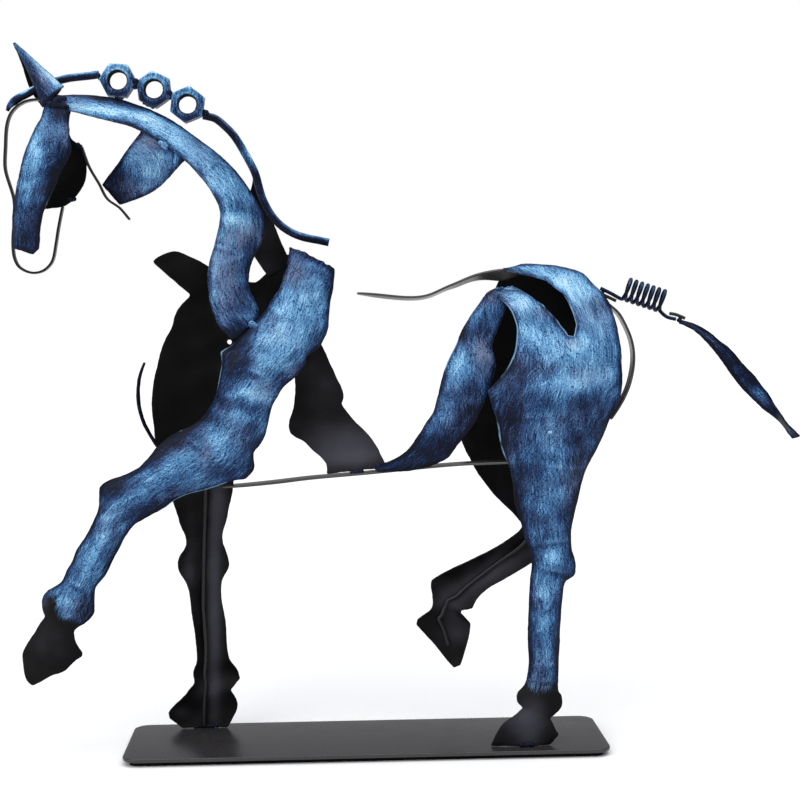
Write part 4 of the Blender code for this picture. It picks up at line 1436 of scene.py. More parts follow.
        # The full corners lie behind the chamfer, off the middle plane where the links join
        all_off = np.linalg.norm(places[:, [0, 2]] - centre[[0, 2]], axis=1)
        whole = all_off[np.abs(places[:, 1]) > thickness * 0.3].max()
        flats = 2 * whole * math.cos(self.HALF_FLAT)
        return Vector((centre[0], 0.0, centre[2])), turn, flats, thickness, 2 * reach.min()

    def soften(self, shop: Workshop, mesh: bpy.types.Mesh) -> bpy.types.Mesh:
        """Round the nut's edges.

        Args:
            shop: The workshop.
            mesh: The nut.

        Returns:
            The rounded nut.
        """
        source = bpy.data.objects.new(self.node, mesh)
        bpy.context.scene.collection.objects.link(source)
        soft = source.modifiers.new("soft_edges", "BEVEL")
        soft.width = self.SOFT * MM
        soft.segments = 3
        soft.limit_method = "ANGLE"
        soft.angle_limit = self.SOFT_TURN
        soft.use_clamp_overlap = True
        return shop.bake(source, self.node)

    def divide(self, mesh: bpy.types.Mesh) -> None:
        """Divide the nut's large faces, so that they can hold the paint's detail.

        Args:
            mesh: The nut.
        """
        work = bmesh.new()
        work.from_mesh(mesh)
        flat = [face for face in work.faces if face.calc_area() > self.FLAT_AREA * MM * MM]
        bmesh.ops.triangulate(work, faces=flat)
        for _ in range(self.ROUNDS):
            long = [edge for edge in work.edges if edge.calc_length() > self.LONG_EDGE * MM]
            bmesh.ops.subdivide_edges(work, edges=long, cuts=1)
            bmesh.ops.triangulate(work, faces=[f for f in work.faces if len(f.verts) > 4])
        work.to_mesh(mesh)
        work.free()
        mesh.shade_smooth()
        mesh.set_sharp_from_angle(angle=math.radians(32))

    def build(self, shop: Workshop, tree: bpy.types.NodeTree) -> bpy.types.Object:
        """Make the nut in its place.

        Args:
            shop: The workshop.
            tree: The nuts' tree.

        Returns:
            The piece.
        """
        centre, turn, flats, thickness, bore = self.measure(shop)
        mesh = shop.shaped(tree, {
            "Flats": flats, "Thickness": thickness, "Bore": bore + self.BORE_GAP * MM,
            "Chamfer": self.chamfer * MM, "Pitch": self.pitch * MM,
            "Thread": self.thread * MM, "Finish": shop.finishes.blue}, self.node)
        mesh = self.soften(shop, mesh)
        mesh.transform(Matrix.Translation(centre) @ Matrix.Rotation(-turn, 4, "Y"))
        self.divide(mesh)
        places = places_of(mesh)
        # The brush went over the nuts from the top down
        up = Vector((0, 0, 20 * MM))
        upright = np.array([centre - up, centre + up])
        values = shop.tones(mesh, upright, (), self.BASE, seed_of(self.node))
        away = np.linalg.norm(places[:, [0, 2]] - np.array([centre.x, centre.z]), axis=1)
        high = (places[:, 2] - centre.z) / flats
        # Painted light from above on the upper side, and painted highlights with the brush's paint on
        # the bore's rim and the corners
        values["paint"] += self.UPPER_PAINTED_LIGHT * high
        values["paint"] += self.BORE_LIGHT * np.exp(-((away - bore * 0.62) / (0.5 * MM)) ** 2)
        values["paint"] += self.CORNER_LIGHT * np.clip((away - flats * 0.47) / MM, 0, 1)
        # The brush left the bore black
        values["soot"] += np.clip(1.3 - (away - bore * 0.5) / (0.5 * MM), 0, 1.3)
        paint_all_round(mesh, values)
        return shop.show(self.node + "_threaded", mesh, shop.finishes.blue, "blue_steel",
                         self.node)


@dataclass(frozen=True)
class WeldBead:
    """A bead of weld that joins pieces: a row of overlapping drops by Geometry Nodes.

    Attributes:
        name: The piece's name.
        node: The CAD node that it lies on.
        start: Its first end in the photograph.
        stop: Its other end there.
        size: Half the bead's width.
        tone: How much blue the brush left on it, from 0.
        flat: Its thickness as a share of its width.
    """

    name: str
    node: str
    start: tuple[float, float]
    stop: tuple[float, float]
    size: float = 1.2
    tone: float = 0.2
    flat: float = 0.7

    # The distance between its drops, how far a drop strays and the width of a melted grain, as
    # shares of the bead's size
    DROPS = 0.7
    JOG = 0.22
    GRAIN = 0.13
    # A drop's least and most size, as shares of the bead's
    SMALLEST = 0.75
    LARGEST = 1.2
    # How much lighter its upper side is, a painted highlight as from light above on a black bead, and
    # the more with a full tone of the brush's paint
    UPPER_PAINTED_LIGHT = (0.04, 0.6)

    @staticmethod
    def tree() -> bpy.types.NodeTree:
        """Make the tree that lays drops along a line and melts them together.

        Returns:
            The tree.
        """
        made, given = blank_shape("weld_bead", ("Size", "Spacing", "Flatness"), ("Seed",))
        curve = add_node(made, "GeometryNodeMeshToCurve", {0: given["Geometry"]})
        evenly = add_node(made, "GeometryNodeResampleCurve", {
            "Curve": curve.outputs[0], "Length": given["Spacing"]}, mode="LENGTH")
        drop = add_node(made, "GeometryNodeMeshIcoSphere", {
            "Radius": given["Size"], "Subdivisions": 3})
        stretch = add_node(made, "ShaderNodeCombineXYZ", {
            0: 1.0, 1: given["Flatness"], 2: 1.0})
        swell = add_node(made, "FunctionNodeRandomValue", {
            2: WeldBead.SMALLEST, 3: WeldBead.LARGEST, "Seed": given["Seed"]},
            data_type="FLOAT")
        scale = add_node(made, "ShaderNodeVectorMath", {
            0: stretch.outputs[0], "Scale": swell.outputs[1]}, operation="SCALE")
        jog = add_node(made, "FunctionNodeRandomValue", {
            0: (-1.0, 0.0, -1.0), 1: (1.0, 0.0, 1.0), "Seed": given["Seed"]},
            data_type="FLOAT_VECTOR")
        share = add_node(made, "ShaderNodeMath", {0: given["Size"], 1: WeldBead.JOG},
                         operation="MULTIPLY")
        jogged = add_node(made, "ShaderNodeVectorMath", {
            0: jog.outputs[0], "Scale": share.outputs[0]}, operation="SCALE")
        strewn = add_node(made, "GeometryNodeSetPosition", {
            "Geometry": evenly.outputs[0], "Offset": jogged.outputs[0]})
        drops = add_node(made, "GeometryNodeInstanceOnPoints", {
            "Points": strewn.outputs[0], "Instance": drop.outputs[0],
            "Scale": scale.outputs[0]})
        real = add_node(made, "GeometryNodeRealizeInstances", {0: drops.outputs[0]})
        voxel = add_node(made, "ShaderNodeMath", {0: given["Size"], 1: WeldBead.GRAIN},
                         operation="MULTIPLY")
        cloud = add_node(made, "GeometryNodeMeshToVolume", {
            "Mesh": real.outputs[0], "Voxel Size": voxel.outputs[0],
            "Interior Band Width": given["Size"]}, resolution_mode="VOXEL_SIZE")
        melted = add_node(made, "GeometryNodeVolumeToMesh", {
            "Volume": cloud.outputs[0], "Voxel Size": voxel.outputs[0], "Threshold": 0.1},
            resolution_mode="VOXEL_SIZE")
        smooth = add_node(made, "GeometryNodeSetShadeSmooth", {0: melted.outputs[0]})
        finish_shape(made, smooth.outputs[0], given["Finish"])
        return made

    def build(self, shop: Workshop, tree: bpy.types.NodeTree) -> bpy.types.Object:
        """Lay the bead.

        Args:
            shop: The workshop.
            tree: The beads' tree.

        Returns:
            The piece.
        """
        ends = [shop.surface(pixel, self.node) for pixel in (self.start, self.stop)]
        line = np.array([ends[0].lerp(ends[1], share) for share in (0.0, 0.5, 1.0)])
        base = path_mesh(self.name + "_path", line)
        seed = seed_of(self.name)
        mesh = shop.shaped(tree, {
            "Size": self.size * MM, "Spacing": self.size * self.DROPS * MM,
            "Flatness": self.flat, "Seed": seed, "Finish": shop.finishes.blue},
            self.name, base)
        values = shop.tones(mesh, line, (), self.tone, seed)
        # The upper side lighter: a painted highlight, with the brush's paint where the tone is full
        lighter = self.UPPER_PAINTED_LIGHT[0] + self.UPPER_PAINTED_LIGHT[1] * self.tone
        values["paint"] += lighter * np.clip(normals_of(mesh)[:, 2], 0, 1)
        paint_all_round(mesh, values)
        return shop.show(self.name, mesh, shop.finishes.blue, "blue_steel")


@dataclass(frozen=True)
class Base:
    """The flat plate and the pad under it.

    Attributes:
        corner: The plate's corner radius.
        edge: The rounding of its edges.
        inset: How far the pad's corners are tighter than the plate's.
    """

    corner: float = 8.0
    edge: float = 0.55
    inset: float = 3.4

    def slab(self, node: str, corner: float, edge: float) -> bpy.types.Mesh:
        """Make a rounded slab in the place of a CAD node.

        Args:
            node: The CAD node.
            corner: The radius of its upright corners.
            edge: The rounding of its other edges.

        Returns:
            The slab.
        """
        low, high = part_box(node)
        work = bmesh.new()
        bmesh.ops.create_cube(work, size=1)
        bmesh.ops.scale(work, verts=work.verts, vec=high - low)
        bmesh.ops.translate(work, verts=work.verts, vec=(high + low) / 2)
        upright = [e for e in work.edges if abs(e.verts[0].co.z - e.verts[1].co.z) > MM]
        bmesh.ops.bevel(work, geom=upright, offset=corner * MM, segments=20, profile=0.5,
                        affect="EDGES")
        rims = [e for e in work.edges if e.calc_face_angle(0) > math.radians(60)]
        bmesh.ops.bevel(work, geom=rims, offset=edge * MM, segments=4, profile=0.5,
                        affect="EDGES")
        mesh = bpy.data.meshes.new(node)
        work.to_mesh(mesh)
        work.free()
        mesh.shade_smooth()
        mesh.set_sharp_from_angle(angle=math.radians(35))
        return mesh

    def build(self, shop: Workshop) -> None:
        """Make both slabs.

        Args:
            shop: The workshop.
        """
        plate = self.slab("base_plate", self.corner, self.edge)
        shop.show("base_plate_coated", plate, shop.finishes.plate, "black_steel", "base_plate")
        pad = self.slab("base_pad", self.corner - self.inset, self.edge / 2)
        shop.show("base_pad_foam", pad, shop.finishes.pad, "pad", "base_pad")


def light(pixel: tuple[float, float], reach: tuple[float, float], strength: float,
          turn: float = 0.0) -> Patch:
    """A lighter patch."""
    return Patch(pixel, reach, Tone.LIGHT, strength, turn)


def deep(pixel: tuple[float, float], reach: tuple[float, float], strength: float,
         turn: float = 0.0) -> Patch:
    """A darker patch."""
    return Patch(pixel, reach, Tone.DEEP, strength, turn)


def violet(pixel: tuple[float, float], reach: tuple[float, float], strength: float,
           turn: float = 0.0) -> Patch:
    """A violet-grey patch."""
    return Patch(pixel, reach, Tone.VIOLET, strength, turn)


def soot(pixel: tuple[float, float], reach: tuple[float, float], strength: float,
         turn: float = 0.0) -> Patch:
    """A patch of bare black."""
    return Patch(pixel, reach, Tone.SOOT, strength, turn)


def dent(pixel: tuple[float, float], reach: tuple[float, float], strength: float,
         turn: float = 0.0) -> Patch:
    """A dent, as deep as its strength in millimetres."""
    return Patch(pixel, reach, Tone.DENT, strength, turn)


def gleam(pixel: tuple[float, float], reach: tuple[float, float], strength: float,
          turn: float = 0.0) -> Patch:
    """A painted sheen: a place where bare black catches the light."""
    return Patch(pixel, reach, Tone.GLEAM, strength, turn)


def worn_and_highlit(pixel: tuple[float, float], reach: tuple[float, float], strength: float,
         turn: float = 0.0) -> Patch:
    """A stretch of cut edge with a light line, partly brushed bare and partly a painted highlight."""
    return Patch(pixel, reach, Tone.WORN_AND_HIGHLIT, strength, turn)


@dataclass(frozen=True)
class Horse:
    """All sheets, straps, rods and nuts of the horse, with the brush's tones, painted sheen and dents
    on them.
    """

    def near_legs(self) -> tuple[CutSheet, ...]:
        """The two near leg sheets.

        Returns:
            The foreleg and the hind leg.
        """
        fore = CutSheet("near_foreleg", Face.NEAR, End.LOW, (
            violet((290, 265), (12, 15), 0.8), light((316, 262), (12, 8), 0.15),
            deep((331, 285), (8, 26), 0.4), light((306, 304), (10, 22), 0.3),
            light((290, 300), (20, 14), 0.34), light((284, 337), (22, 16), 0.46),
            light((266, 360), (18, 12), 0.34), light((250, 394), (22, 11), 0.55),
            deep((236, 351), (18, 24), 0.85), deep((316, 345), (7, 20), 0.3),
            violet((295, 372), (9, 8), 0.7), deep((282, 382), (12, 8), 0.3),
            deep((250, 407), (26, 5), 0.16), deep((212, 418), (14, 9), 0.3),
            light((216, 440), (12, 10), 0.34), light((226, 456), (16, 12), 0.2),
            light((178, 462), (22, 9), 0.28, 25), light((148, 484), (16, 6), 0.24, 35),
            violet((206, 452), (6, 20), 0.5), deep((250, 440), (10, 30), 0.3),
            deep((168, 444), (34, 8), 0.6, 32), deep((160, 506), (34, 10), 0.55, 20),
            violet((175, 500), (24, 7), 0.7, 20), light((118, 503), (18, 5), 0.2, 38),
            light((106, 518), (9, 4), 0.3, 10), deep((112, 486), (14, 11), 0.75),
            light((99, 544), (24, 5.5), 0.4, 64), light((83, 576), (14, 4), 0.22, 68),
            light((69, 600), (7, 14), 0.46), deep((122, 556), (34, 8), 0.6, 60),
            deep((78, 545), (30, 4), 0.4, 62), violet((84, 608), (9, 10), 0.9),
            deep((86, 612), (11, 13), 0.45), soot((50, 606), (8, 16), 0.7),
            soot((44, 664), (52, 40), 1.6), soot((60, 632), (24, 12), 0.6),
            gleam((50, 640), (24, 20), 0.3), gleam((106, 488), (6, 7), 0.6),
            gleam((45, 600), (5, 10), 0.5), worn_and_highlit((222, 350), (12, 60), 1.0),
            worn_and_highlit((215, 425), (30, 16), 1.0, 40), worn_and_highlit((190, 500), (50, 12), 0.8, 20),
            light((318, 300), (10, 24), 0.24), light((262, 340), (10, 12), 0.3),
            light((284, 366), (14, 8), 0.3), deep((294, 333), (9, 12), 0.2),
            deep((266, 389), (14, 5), 0.4), deep((222, 398), (7, 9), 0.6),
            light((243, 416), (12, 7), 0.4), deep((176, 440), (14, 9), 0.3),
            deep((232, 472), (18, 7), 0.45), deep((104, 507), (8, 6), 0.3),
            deep((142, 486), (14, 8), 0.12), dent((268, 312), (18, 2.6), 1.0, -20),
            dent((282, 322), (12, 2.2), 0.8, -38), dent((256, 376), (9, 3), 1.1, -25),
            dent((250, 384), (3, 3), 1.2), dent((290, 358), (14, 2.4), 0.7, 40),
            dent((238, 398), (20, 3), 0.7, 5), dent((228, 428), (3, 12), 0.6),
            dent((196, 448), (12, 2.4), 0.8, -40), dent((140, 470), (10, 3), 0.7, 30),
            dent((121, 520), (10, 2.4), 0.6, 60), dent((76, 588), (8, 2.4), 0.8, -30)),
            base=0.46, sway=0.2, torn=246, pushes=(
                Push((315, 357), (8, 9), (-7, 0)), Push((248, 468), (9, 9), (5, 1)),
                Push((256, 451), (5, 5), (-3, 0)), Push((160, 508), (22, 8), (0, 2)),
                Push((26, 686), (8, 8), (-2, 2)), Push((104, 574), (10, 14), (2, 0)),
                Push((24, 650), (6, 24), (-1, 0)), Push((64, 672), (16, 8), (0, 2)),
                Push((312, 252), (24, 8), (0, -1.5))))
        hind = CutSheet("near_hindleg", Face.NEAR, End.LOW, (
            light((550, 275), (40, 9), 0.32), light((562, 283), (14, 9), 0.4),
            light((524, 268), (16, 5), 0.4), light((576, 290), (24, 13), 0.4),
            light((604, 330), (12, 14), 0.2), light((520, 302), (22, 13), 0.64),
            violet((546, 312), (12, 5), 0.9), light((535, 330), (20, 12), 0.4),
            light((562, 350), (22, 12), 0.45), light((592, 372), (24, 12), 0.28),
            violet((585, 375), (22, 10), 0.55), light((572, 384), (26, 8), 0.3),
            violet((572, 343), (8, 5), 0.7), deep((524, 360), (14, 14), 0.34),
            deep((498, 392), (10, 20), 0.3), light((534, 388), (12, 7), 0.3),
            deep((514, 424), (16, 24), 0.5), deep((582, 404), (14, 10), 0.3),
            deep((606, 420), (12, 24), 0.3), deep((584, 450), (14, 22), 0.4),
            light((551, 446), (10, 9), 0.4), deep((530, 470), (14, 16), 0.4),
            light((550, 496), (9, 10), 0.26), deep((542, 520), (20, 8), 0.2),
            light((552, 558), (11, 9), 0.5), light((548, 586), (8, 10), 0.2),
            deep((545, 606), (12, 5), 0.16), light((547, 622), (7, 8), 0.3),
            light((547, 650), (7, 14), 0.16), deep((504, 440), (9, 44), 0.42, -12),
            violet((506, 440), (10, 44), 0.8, -12), deep((518, 512), (7, 44), 0.6),
            deep((578, 500), (9, 60), 0.55), violet((578, 500), (9, 60), 0.7),
            deep((532, 590), (4, 50), 0.15), deep((565, 580), (5, 60), 0.25),
            deep((530, 650), (5, 40), 0.1), deep((560, 650), (6, 44), 0.4),
            light((534, 686), (9, 6), 0.1), violet((544, 690), (8, 10), 0.8),
            soot((518, 697), (8, 14), 0.8), soot((562, 702), (8, 18), 0.9),
            soot((524, 768), (120, 62), 3.0), gleam((528, 722), (20, 26), 0.72),
            worn_and_highlit((570, 320), (30, 40), 1.0), worn_and_highlit((512, 330), (14, 60), 1.0),
            worn_and_highlit((498, 420), (16, 60), 0.55), light((580, 342), (15, 14), 0.45),
            light((588, 315), (14, 10), 0.3), light((520, 560), (6, 30), 0.16),
            deep((546, 406), (9, 12), 0.3), light((548, 468), (14, 10), 0.34),
            deep((547, 500), (10, 9), 0.4), deep((536, 538), (12, 9), 0.3),
            deep((557, 648), (6, 16), 0.5), light((545, 697), (8, 6), 0.2),
            light((545, 600), (9, 8), 0.2), dent((556, 362), (16, 1.8), 0.5, 40),
            dent((548, 372), (12, 1.6), 0.5, 55), dent((575, 352), (12, 2), 0.5, -30),
            dent((530, 420), (26, 3), 0.5, 4), dent((560, 470), (22, 3), 0.5, -6),
            dent((552, 545), (16, 2.6), 0.9, 8), dent((556, 574), (12, 2.6), 0.8, -12),
            dent((540, 600), (5, 2), 0.8, -35), dent((546, 612), (5, 2), 0.8, 30),
            dent((540, 634), (5, 2), 0.7, 40), dent((546, 668), (14, 2), 0.6, 6),
            dent((546, 684), (14, 1.8), 0.6, -4)), base=0.46, pushes=(
                Push((596, 445), (16, 30), (2, 0)), Push((529, 655), (4, 18), (-2, 0)),
                Push((570, 574), (7, 8), (2, 1)), Push((580, 276), (20, 8), (0.7, -1.4))))
        return fore, hind

    def near_body(self) -> tuple[CutSheet, ...]:
        """The sheets between the legs.

        Returns:
            The near flank, the far rib and the chest strip.
        """
        flank = CutSheet("near_flank", Face.NEAR, End.LEFT, (
            light((457, 366), (11, 18), 0.4), light((472, 308), (16, 12), 0.55),
            light((440, 410), (10, 12), 0.1), violet((485, 356), (10, 20), 1.0),
            violet((490, 296), (14, 8), 0.9), deep((466, 336), (14, 7), 0.4, 35),
            deep((484, 332), (10, 16), 0.55), light((506, 290), (12, 5), 0.3),
            deep((440, 398), (8, 14), 0.2), deep((430, 452), (50, 16), 0.6, 14),
            soot((420, 466), (60, 7), 0.6, 5), deep((470, 416), (16, 26), 0.5),
            violet((464, 424), (18, 26), 0.5), deep((430, 444), (24, 12), 0.2),
            worn_and_highlit((452, 370), (10, 50), 0.9)),
            base=0.46, brush=24, pushes=(Push((428, 422), (14, 26), (-2, 0)),
                                         Push((448, 456), (10, 8), (1, 2))))
        rib = CutSheet("far_rib", Face.FAR, End.HIGH, (
            gleam((345, 445), (44, 24), 0.7), gleam((322, 385), (24, 30), 0.35),
            gleam((350, 458), (34, 8), 0.4)), pushes=(
                Push((292, 432), (8, 12), (-2, 1)), Push((312, 448), (14, 8), (-1, 1))))
        chest = CutSheet("chest_strip", Face.BOTH, End.HIGH, base=0.2, levels=2, wave=0.0,
                         roll=0.0, ragged=0.03)
        return flank, rib, chest

    def far_legs(self) -> tuple[CutSheet, ...]:
        """The two far leg sheets, which show their black inner faces.

        Returns:
            The foreleg and the hind leg.
        """
        fore = CutSheet("far_foreleg", Face.FAR, End.LOW, (
            gleam((214, 600), (8, 120), 0.78), gleam((190, 560), (7, 60), 0.3),
            gleam((208, 690), (16, 20), 0.3), gleam((222, 500), (9, 30), 0.45),
            gleam((186, 575), (9, 14), 0.3), gleam((182, 712), (14, 8), 0.3)), pushes=(
                Push((182, 528), (6, 14), (-3, 0)), Push((224, 525), (6, 20), (3, 0)),
                Push((165, 254), (16, 8), (-1, -3)), Push((200, 262), (10, 8), (0, -2)),
                Push((224, 620), (5, 34), (1.5, 0)), Push((236, 672), (8, 12), (1.5, 0))))
        hind = CutSheet("far_hindleg", Face.FAR, End.LOW, (
            gleam((490, 572), (46, 12), 0.65, 32), gleam((448, 602), (20, 20), 0.35),
            gleam((456, 634), (18, 14), 0.4), gleam((500, 510), (10, 40), 0.2)))
        return fore, hind

    def neck_and_head(self) -> tuple[CutSheet, ...]:
        """The painted sheets of the neck and head.

        Returns:
            The neck, the throat plate, the far neck plate, both cheeks and both ears.
        """
        neck = CutSheet("neck", Face.NEAR, End.LEFT, (
            light((104, 111), (40, 7), 0.54, -6), light((152, 122), (22, 8), 0.6, -30),
            light((180, 142), (22, 12), 0.5, -40), light((212, 180), (16, 16), 0.5),
            deep((120, 101), (34, 3), 0.5, -8), deep((160, 113), (20, 3), 0.4, -30),
            light((232, 218), (16, 10), 0.36), violet((78, 104), (10, 6), 0.5),
            violet((244, 236), (20, 12), 0.9),
            light((244, 232), (10, 9), 0.12), violet((226, 285), (14, 32), 0.8),
            light((222, 285), (8, 26), 0.14),
            deep((258, 214), (9, 14), 0.3), deep((248, 270), (6, 26), 0.4),
            deep((57, 104), (10, 8), 0.9), dent((218, 250), (16, 2.4), 0.7, -15),
            dent((236, 262), (12, 2.2), 0.6, 20), dent((210, 170), (10, 2), 0.5, 40),
            deep((236, 332), (16, 14), 0.9),
            light((247, 316), (6, 4), 0.25), light((216, 240), (7, 24), 0.2),
            light((213, 300), (3, 40), 0.24), deep((230, 272), (14, 12), 0.24),
            deep((234, 304), (12, 14), 0.2), deep((236, 208), (12, 7), 0.34),
            light((74, 109), (10, 5), 0.4), deep((128, 106), (30, 4), 0.5, -14),
            deep((166, 128), (9, 9), 0.3), light((226, 190), (10, 9), 0.24)), base=0.5,
            pushes=(Push((105, 120), (34, 6), (0, 2)), Push((212, 250), (8, 18), (2.5, 0))))
        throat = CutSheet("throat_plate", Face.NEAR, End.HIGH, (
            light((150, 172), (14, 11), 0.36), light((160, 156), (14, 6), 0.4),
            violet((152, 141), (16, 7), 1.0), deep((112, 180), (12, 18), 0.6),
            deep((120, 196), (16, 8), 0.5), violet((126, 190), (18, 8), 0.9),
            deep((122, 152), (8, 12), 0.2)), base=0.46, brush=38)
        far_neck = CutSheet("far_neck_plate", Face.FAR, End.HIGH, (
            gleam((266, 236), (14, 40), 0.3), gleam((262, 268), (16, 12), 0.2)))
        cheek = CutSheet("near_cheek", Face.NEAR, End.HIGH, (
            light((34, 148), (9, 24), 0.6), light((27, 186), (7, 18), 0.2),
            deep((52, 184), (9, 34), 0.8, -14), deep((34, 212), (14, 18), 0.4),
            deep((22, 236), (18, 14), 0.5), violet((67, 134), (5, 16), 1.0),
            deep((58, 112), (10, 12), 0.8), light((42, 122), (8, 8), 0.2),
            deep((66, 152), (7, 12), 0.35)), base=0.47)
        far_cheek = CutSheet("far_cheek", Face.FAR, End.HIGH)
        near_ear = CutSheet("near_ear", Face.NEAR, End.HIGH, (
            light((42, 66), (40, 4.5), 0.7, -47), light((58, 86), (6, 6), 0.2),
            deep((36, 84), (24, 6), 0.6, -62), violet((44, 82), (6, 8), 0.3),
            worn_and_highlit((36, 84), (8, 24), 0.7)), base=0.44, levels=2, wave=0.1, roll=0.0,
            ragged=0.03, border=0.3)
        far_ear = CutSheet("far_ear", Face.FAR, End.HIGH, levels=2, wave=0.1, roll=0.0,
                           ragged=0.05)
        return neck, throat, far_neck, cheek, far_cheek, near_ear, far_ear

    def black_strips(self) -> tuple[CutSheet, ...]:
        """The straps and strips that are black all over.

        Returns:
            The spine strap, the belly strap, the face strip and the throat strip.
        """
        plain = {"face": None, "wave": 0.0, "roll": 0.0, "ragged": 0.0, "sway": 0.0}
        bent = (Push((236, 481), (26, 12), (-14, 3)), Push((270, 481), (40, 12), (0, 3)))
        return (CutSheet("spine_strap", end=End.LEFT, rubbed=True, **plain),
                CutSheet("belly_strap", end=End.LEFT, rubbed=True, pushes=bent, **plain),
                CutSheet("face_strip", end=End.HIGH, **plain),
                CutSheet("throat_strip", end=End.HIGH, **plain))

    def tail_leaf(self) -> CutSheet:
        """The twisted leaf at the tail's end.

        Returns:
            The leaf.
        """
        return CutSheet("tail_leaf", Face.BOTH, End.LEFT, (
            deep((745, 372), (26, 18), 0.34, -50), light((762, 393), (7, 6), 0.4),
            light((742, 400), (20, 5), 0.16, -45), violet((710, 335), (16, 8), 0.9, -45),
            deep((712, 336), (16, 8), 0.2, -45)), base=0.3, wave=0.12, roll=0.0,
            pushes=(Push((730, 352), (14, 14), (1.2, -1.2)),))

    def rods(self) -> tuple[RoundRod, ...]:
        """The rods and wires.

        Returns:
            The mane's two rods, the legs' two rods and the tail's three wires.
        """
        return (RoundRod("mane_front_rod", End.LEFT, True, (
                    light((11, 106), (5, 7), 0.8, 40), light((26, 90), (16, 2.5), 0.6, 40),
                    deep((30, 96), (20, 3), 0.5, 36), deep((66, 84), (16, 2.5), 0.5),
                    light((80, 73), (20, 2.5), 0.2))),
                RoundRod("mane_rear_rod", End.LEFT, True, (
                    light((248, 158), (12, 24), 0.5), deep((212, 115), (10, 8), 0.3),
                    deep((262, 200), (10, 10), 0.2), violet((215, 120), (20, 16), 0.9))),
                RoundRod("foreleg_rod", End.LOW, False),
                RoundRod("hindleg_rod", End.RIGHT, False),
                RoundRod("tail_spring", End.LEFT, True, sides=16, pitted=0.03, swell=1.12,
                         top=0.35),
                RoundRod("tail_stem", End.LEFT, False, sides=16, pitted=0.03),
                RoundRod("tail_link", End.LEFT, False, sides=16, pitted=0.03))

    def welds(self) -> tuple[WeldBead, ...]:
        """The weld beads that the photograph shows.

        Returns:
            The beads.
        """
        return (WeldBead("weld_nuts_1_2", "mane_nut_1", (135, 82), (138, 88), 1.5, 0.05, 1.0),
                WeldBead("weld_nuts_2_3", "mane_nut_2", (169, 92), (172, 98), 1.5, 0.05, 1.0),
                WeldBead("weld_front_rod_nut", "mane_front_rod", (98, 75), (103, 79), 1.3, 0.1, 1.0),
                WeldBead("weld_nut_rear_rod", "mane_rear_rod", (202, 110), (206, 113), 1.5, 0.05,
                         1.0),
                WeldBead("weld_nut_2_neck", "mane_nut_2", (143, 106), (152, 108), 1.1, 0.4, 1.0),
                WeldBead("weld_nut_1_neck", "mane_nut_1", (116, 98), (122, 98), 0.9, 0.2, 1.0),
                WeldBead("weld_throat_plate", "neck", (160, 145), (166, 148), 1.5, 0.55, 0.7),
                WeldBead("weld_neck_shoulder", "near_foreleg", (249, 323), (257, 327), 1.8, 0.4, 0.8),
                WeldBead("weld_ear_base", "near_ear", (44, 104), (58, 98), 1.7, 0.0, 0.9),
                WeldBead("weld_poll", "neck", (60, 101), (67, 107), 1.7, 0.25, 0.8),
                WeldBead("weld_poll_top", "neck", (58, 100), (63, 99), 2.6, 0.0, 0.9),
                WeldBead("weld_poll_front", "neck", (55, 101), (59, 100), 2.7, 0.0, 0.9),
                WeldBead("weld_poll_low", "near_cheek", (51, 105), (64, 106), 1.8, 0.0, 0.8),
                WeldBead("weld_hip", "near_flank", (498, 290), (513, 287), 1.3, 0.35, 0.8),
                WeldBead("weld_belly", "belly_strap", (351, 471), (361, 470), 1.2, 0.15, 0.8),
                WeldBead("weld_near_hoof", "near_hindleg", (522, 745), (532, 745), 1.4, 0.0, 0.9),
                WeldBead("weld_far_hoof", "far_foreleg", (196, 727), (216, 727), 1.2, 0.0, 0.9),
                WeldBead("weld_far_cheek", "far_cheek", (79, 143), (82, 147), 1.4, 0.0, 0.9),
                WeldBead("weld_far_cheek_low", "far_cheek", (69, 200), (74, 199), 1.2, 0.0, 0.9),
                WeldBead("weld_thigh_spot", "near_hindleg", (549, 433), (550, 433), 1.0, 0.75, 0.5),
                WeldBead("weld_stem_rump", "tail_stem", (597, 286), (602, 287), 1.2, 0.1, 1.0),
                WeldBead("weld_spring_leaf", "tail_leaf", (668, 318), (680, 320), 1.1, 0.05, 0.8))

    def build(self, shop: Workshop) -> None:
        """Make every piece of the horse.

        Args:
            shop: The workshop.
        """
        for sheet in (*self.near_legs(), *self.near_body(), *self.far_legs(),
                      *self.neck_and_head(), *self.black_strips(), self.tail_leaf()):
            sheet.build(shop)
        rod_tree = RoundRod.tree()
        for rod in self.rods():
            rod.build(shop, rod_tree)
        nut_tree = HexNut.tree()
        for number in (1, 2, 3):
            HexNut(f"mane_nut_{number}").build(shop, nut_tree)
        weld_tree = WeldBead.tree()
        for weld in self.welds():
            weld.build(shop, weld_tree)


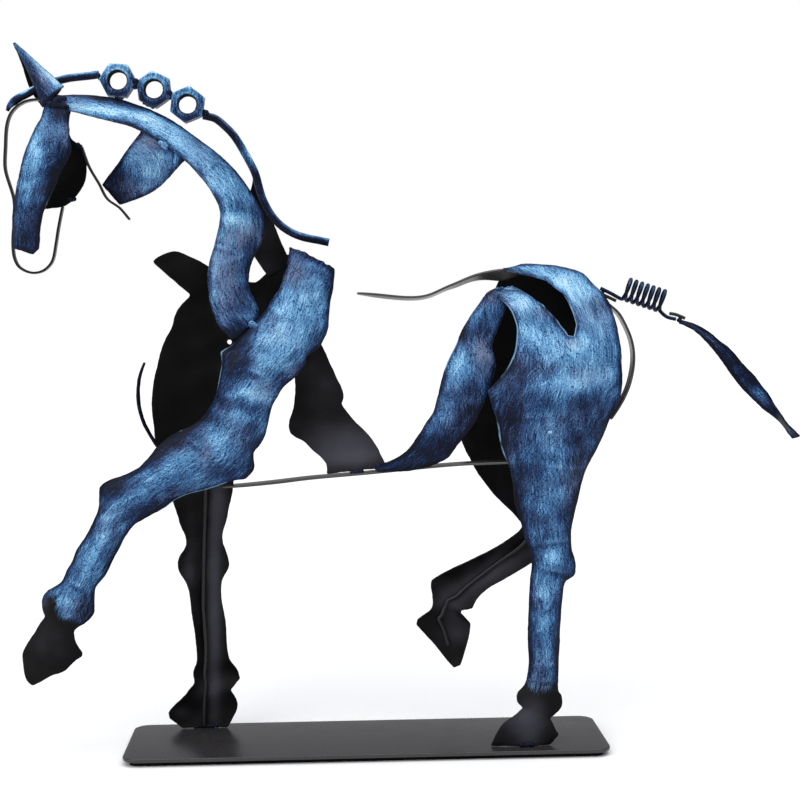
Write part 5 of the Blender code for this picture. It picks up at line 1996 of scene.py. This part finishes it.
@dataclass(frozen=True)
class Studio:
    """A pale floor under even, soft studio light.

    Attributes:
        floor_side: The floor's side in metres.
        floor: Its colour.
        backdrop: What the camera sees behind.
        sky: Colour of the light from all round.
        fill: Its strength.
    """

    floor_side: float = 40.0
    floor: str = "F4F4F4"
    backdrop: str = "FFFFFF"
    sky: str = "F7F9FF"
    fill: float = 0.42

    def build_floor(self) -> None:
        """Lay the floor."""
        work = bmesh.new()
        bmesh.ops.create_grid(work, x_segments=1, y_segments=1, size=self.floor_side / 2)
        mesh = bpy.data.meshes.new("studio_floor")
        work.to_mesh(mesh)
        work.free()
        made, tree = blank_material("pale_matt_paint")
        shader = add_node(tree, "ShaderNodeBsdfPrincipled", {
            "Base Color": linear(self.floor), "Roughness": 0.9, "Specular IOR Level": 0.1})
        add_node(tree, "ShaderNodeOutputMaterial", {0: shader.outputs[0]})
        mesh.materials.append(made)
        floor = bpy.data.objects.new("studio_floor", mesh)
        bpy.context.scene.collection.objects.link(floor)

    def build_world(self) -> None:
        """Set the light from all round, and the backdrop that the camera sees."""
        world = bpy.data.worlds.new("studio")
        bpy.context.scene.world = world
        world.use_nodes = True
        tree = world.node_tree
        tree.nodes.clear()
        seen = add_node(tree, "ShaderNodeBackground", {
            "Color": linear(self.backdrop), "Strength": 1.0})
        glow = add_node(tree, "ShaderNodeBackground", {
            "Color": linear(self.sky), "Strength": self.fill})
        ray = add_node(tree, "ShaderNodeLightPath")
        both = add_node(tree, "ShaderNodeMixShader", {
            0: ray.outputs["Is Camera Ray"], 1: glow.outputs[0], 2: seen.outputs[0]})
        add_node(tree, "ShaderNodeOutputWorld", {0: both.outputs[0]})

    def build_lamp(self, name: str, heading: tuple[float, float, float], strength: float,
                   spread: float) -> None:
        """Hang a broad lamp far away.

        Args:
            name: Its name.
            heading: The way from the part to the lamp.
            strength: Its strength.
            spread: How broad it looks, in degrees.
        """
        lamp = bpy.data.lights.new(name, "SUN")
        lamp.energy = strength
        lamp.angle = math.radians(spread)
        made = bpy.data.objects.new(name, lamp)
        bpy.context.scene.collection.objects.link(made)
        made.rotation_mode = "QUATERNION"
        made.rotation_quaternion = Vector(heading).to_track_quat("Z", "Y")

    def build(self) -> None:
        """Make the floor, the world and the lamps."""
        self.build_floor()
        self.build_world()
        self.build_lamp("overhead_softbox", heading=(0.1, -0.25, 1.0), strength=2.2, spread=70)
        self.build_lamp("left_softbox", heading=(-0.8, -0.9, 0.7), strength=1.3, spread=50)
        bpy.context.scene.view_settings.view_transform = "Standard"


def main() -> None:
    """Build the dressed part, the studio and the camera."""
    logging.basicConfig(level=logging.INFO, format="%(message)s")
    for old in list(bpy.data.objects):
        bpy.data.objects.remove(old)
    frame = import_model()
    photo = PhotoView()
    photo.build()
    shop = Workshop(frame["nodes"], photo, Finishes())
    Base().build(shop)
    Horse().build(shop)
    Studio().build()


if __name__ == "__main__":
    main()
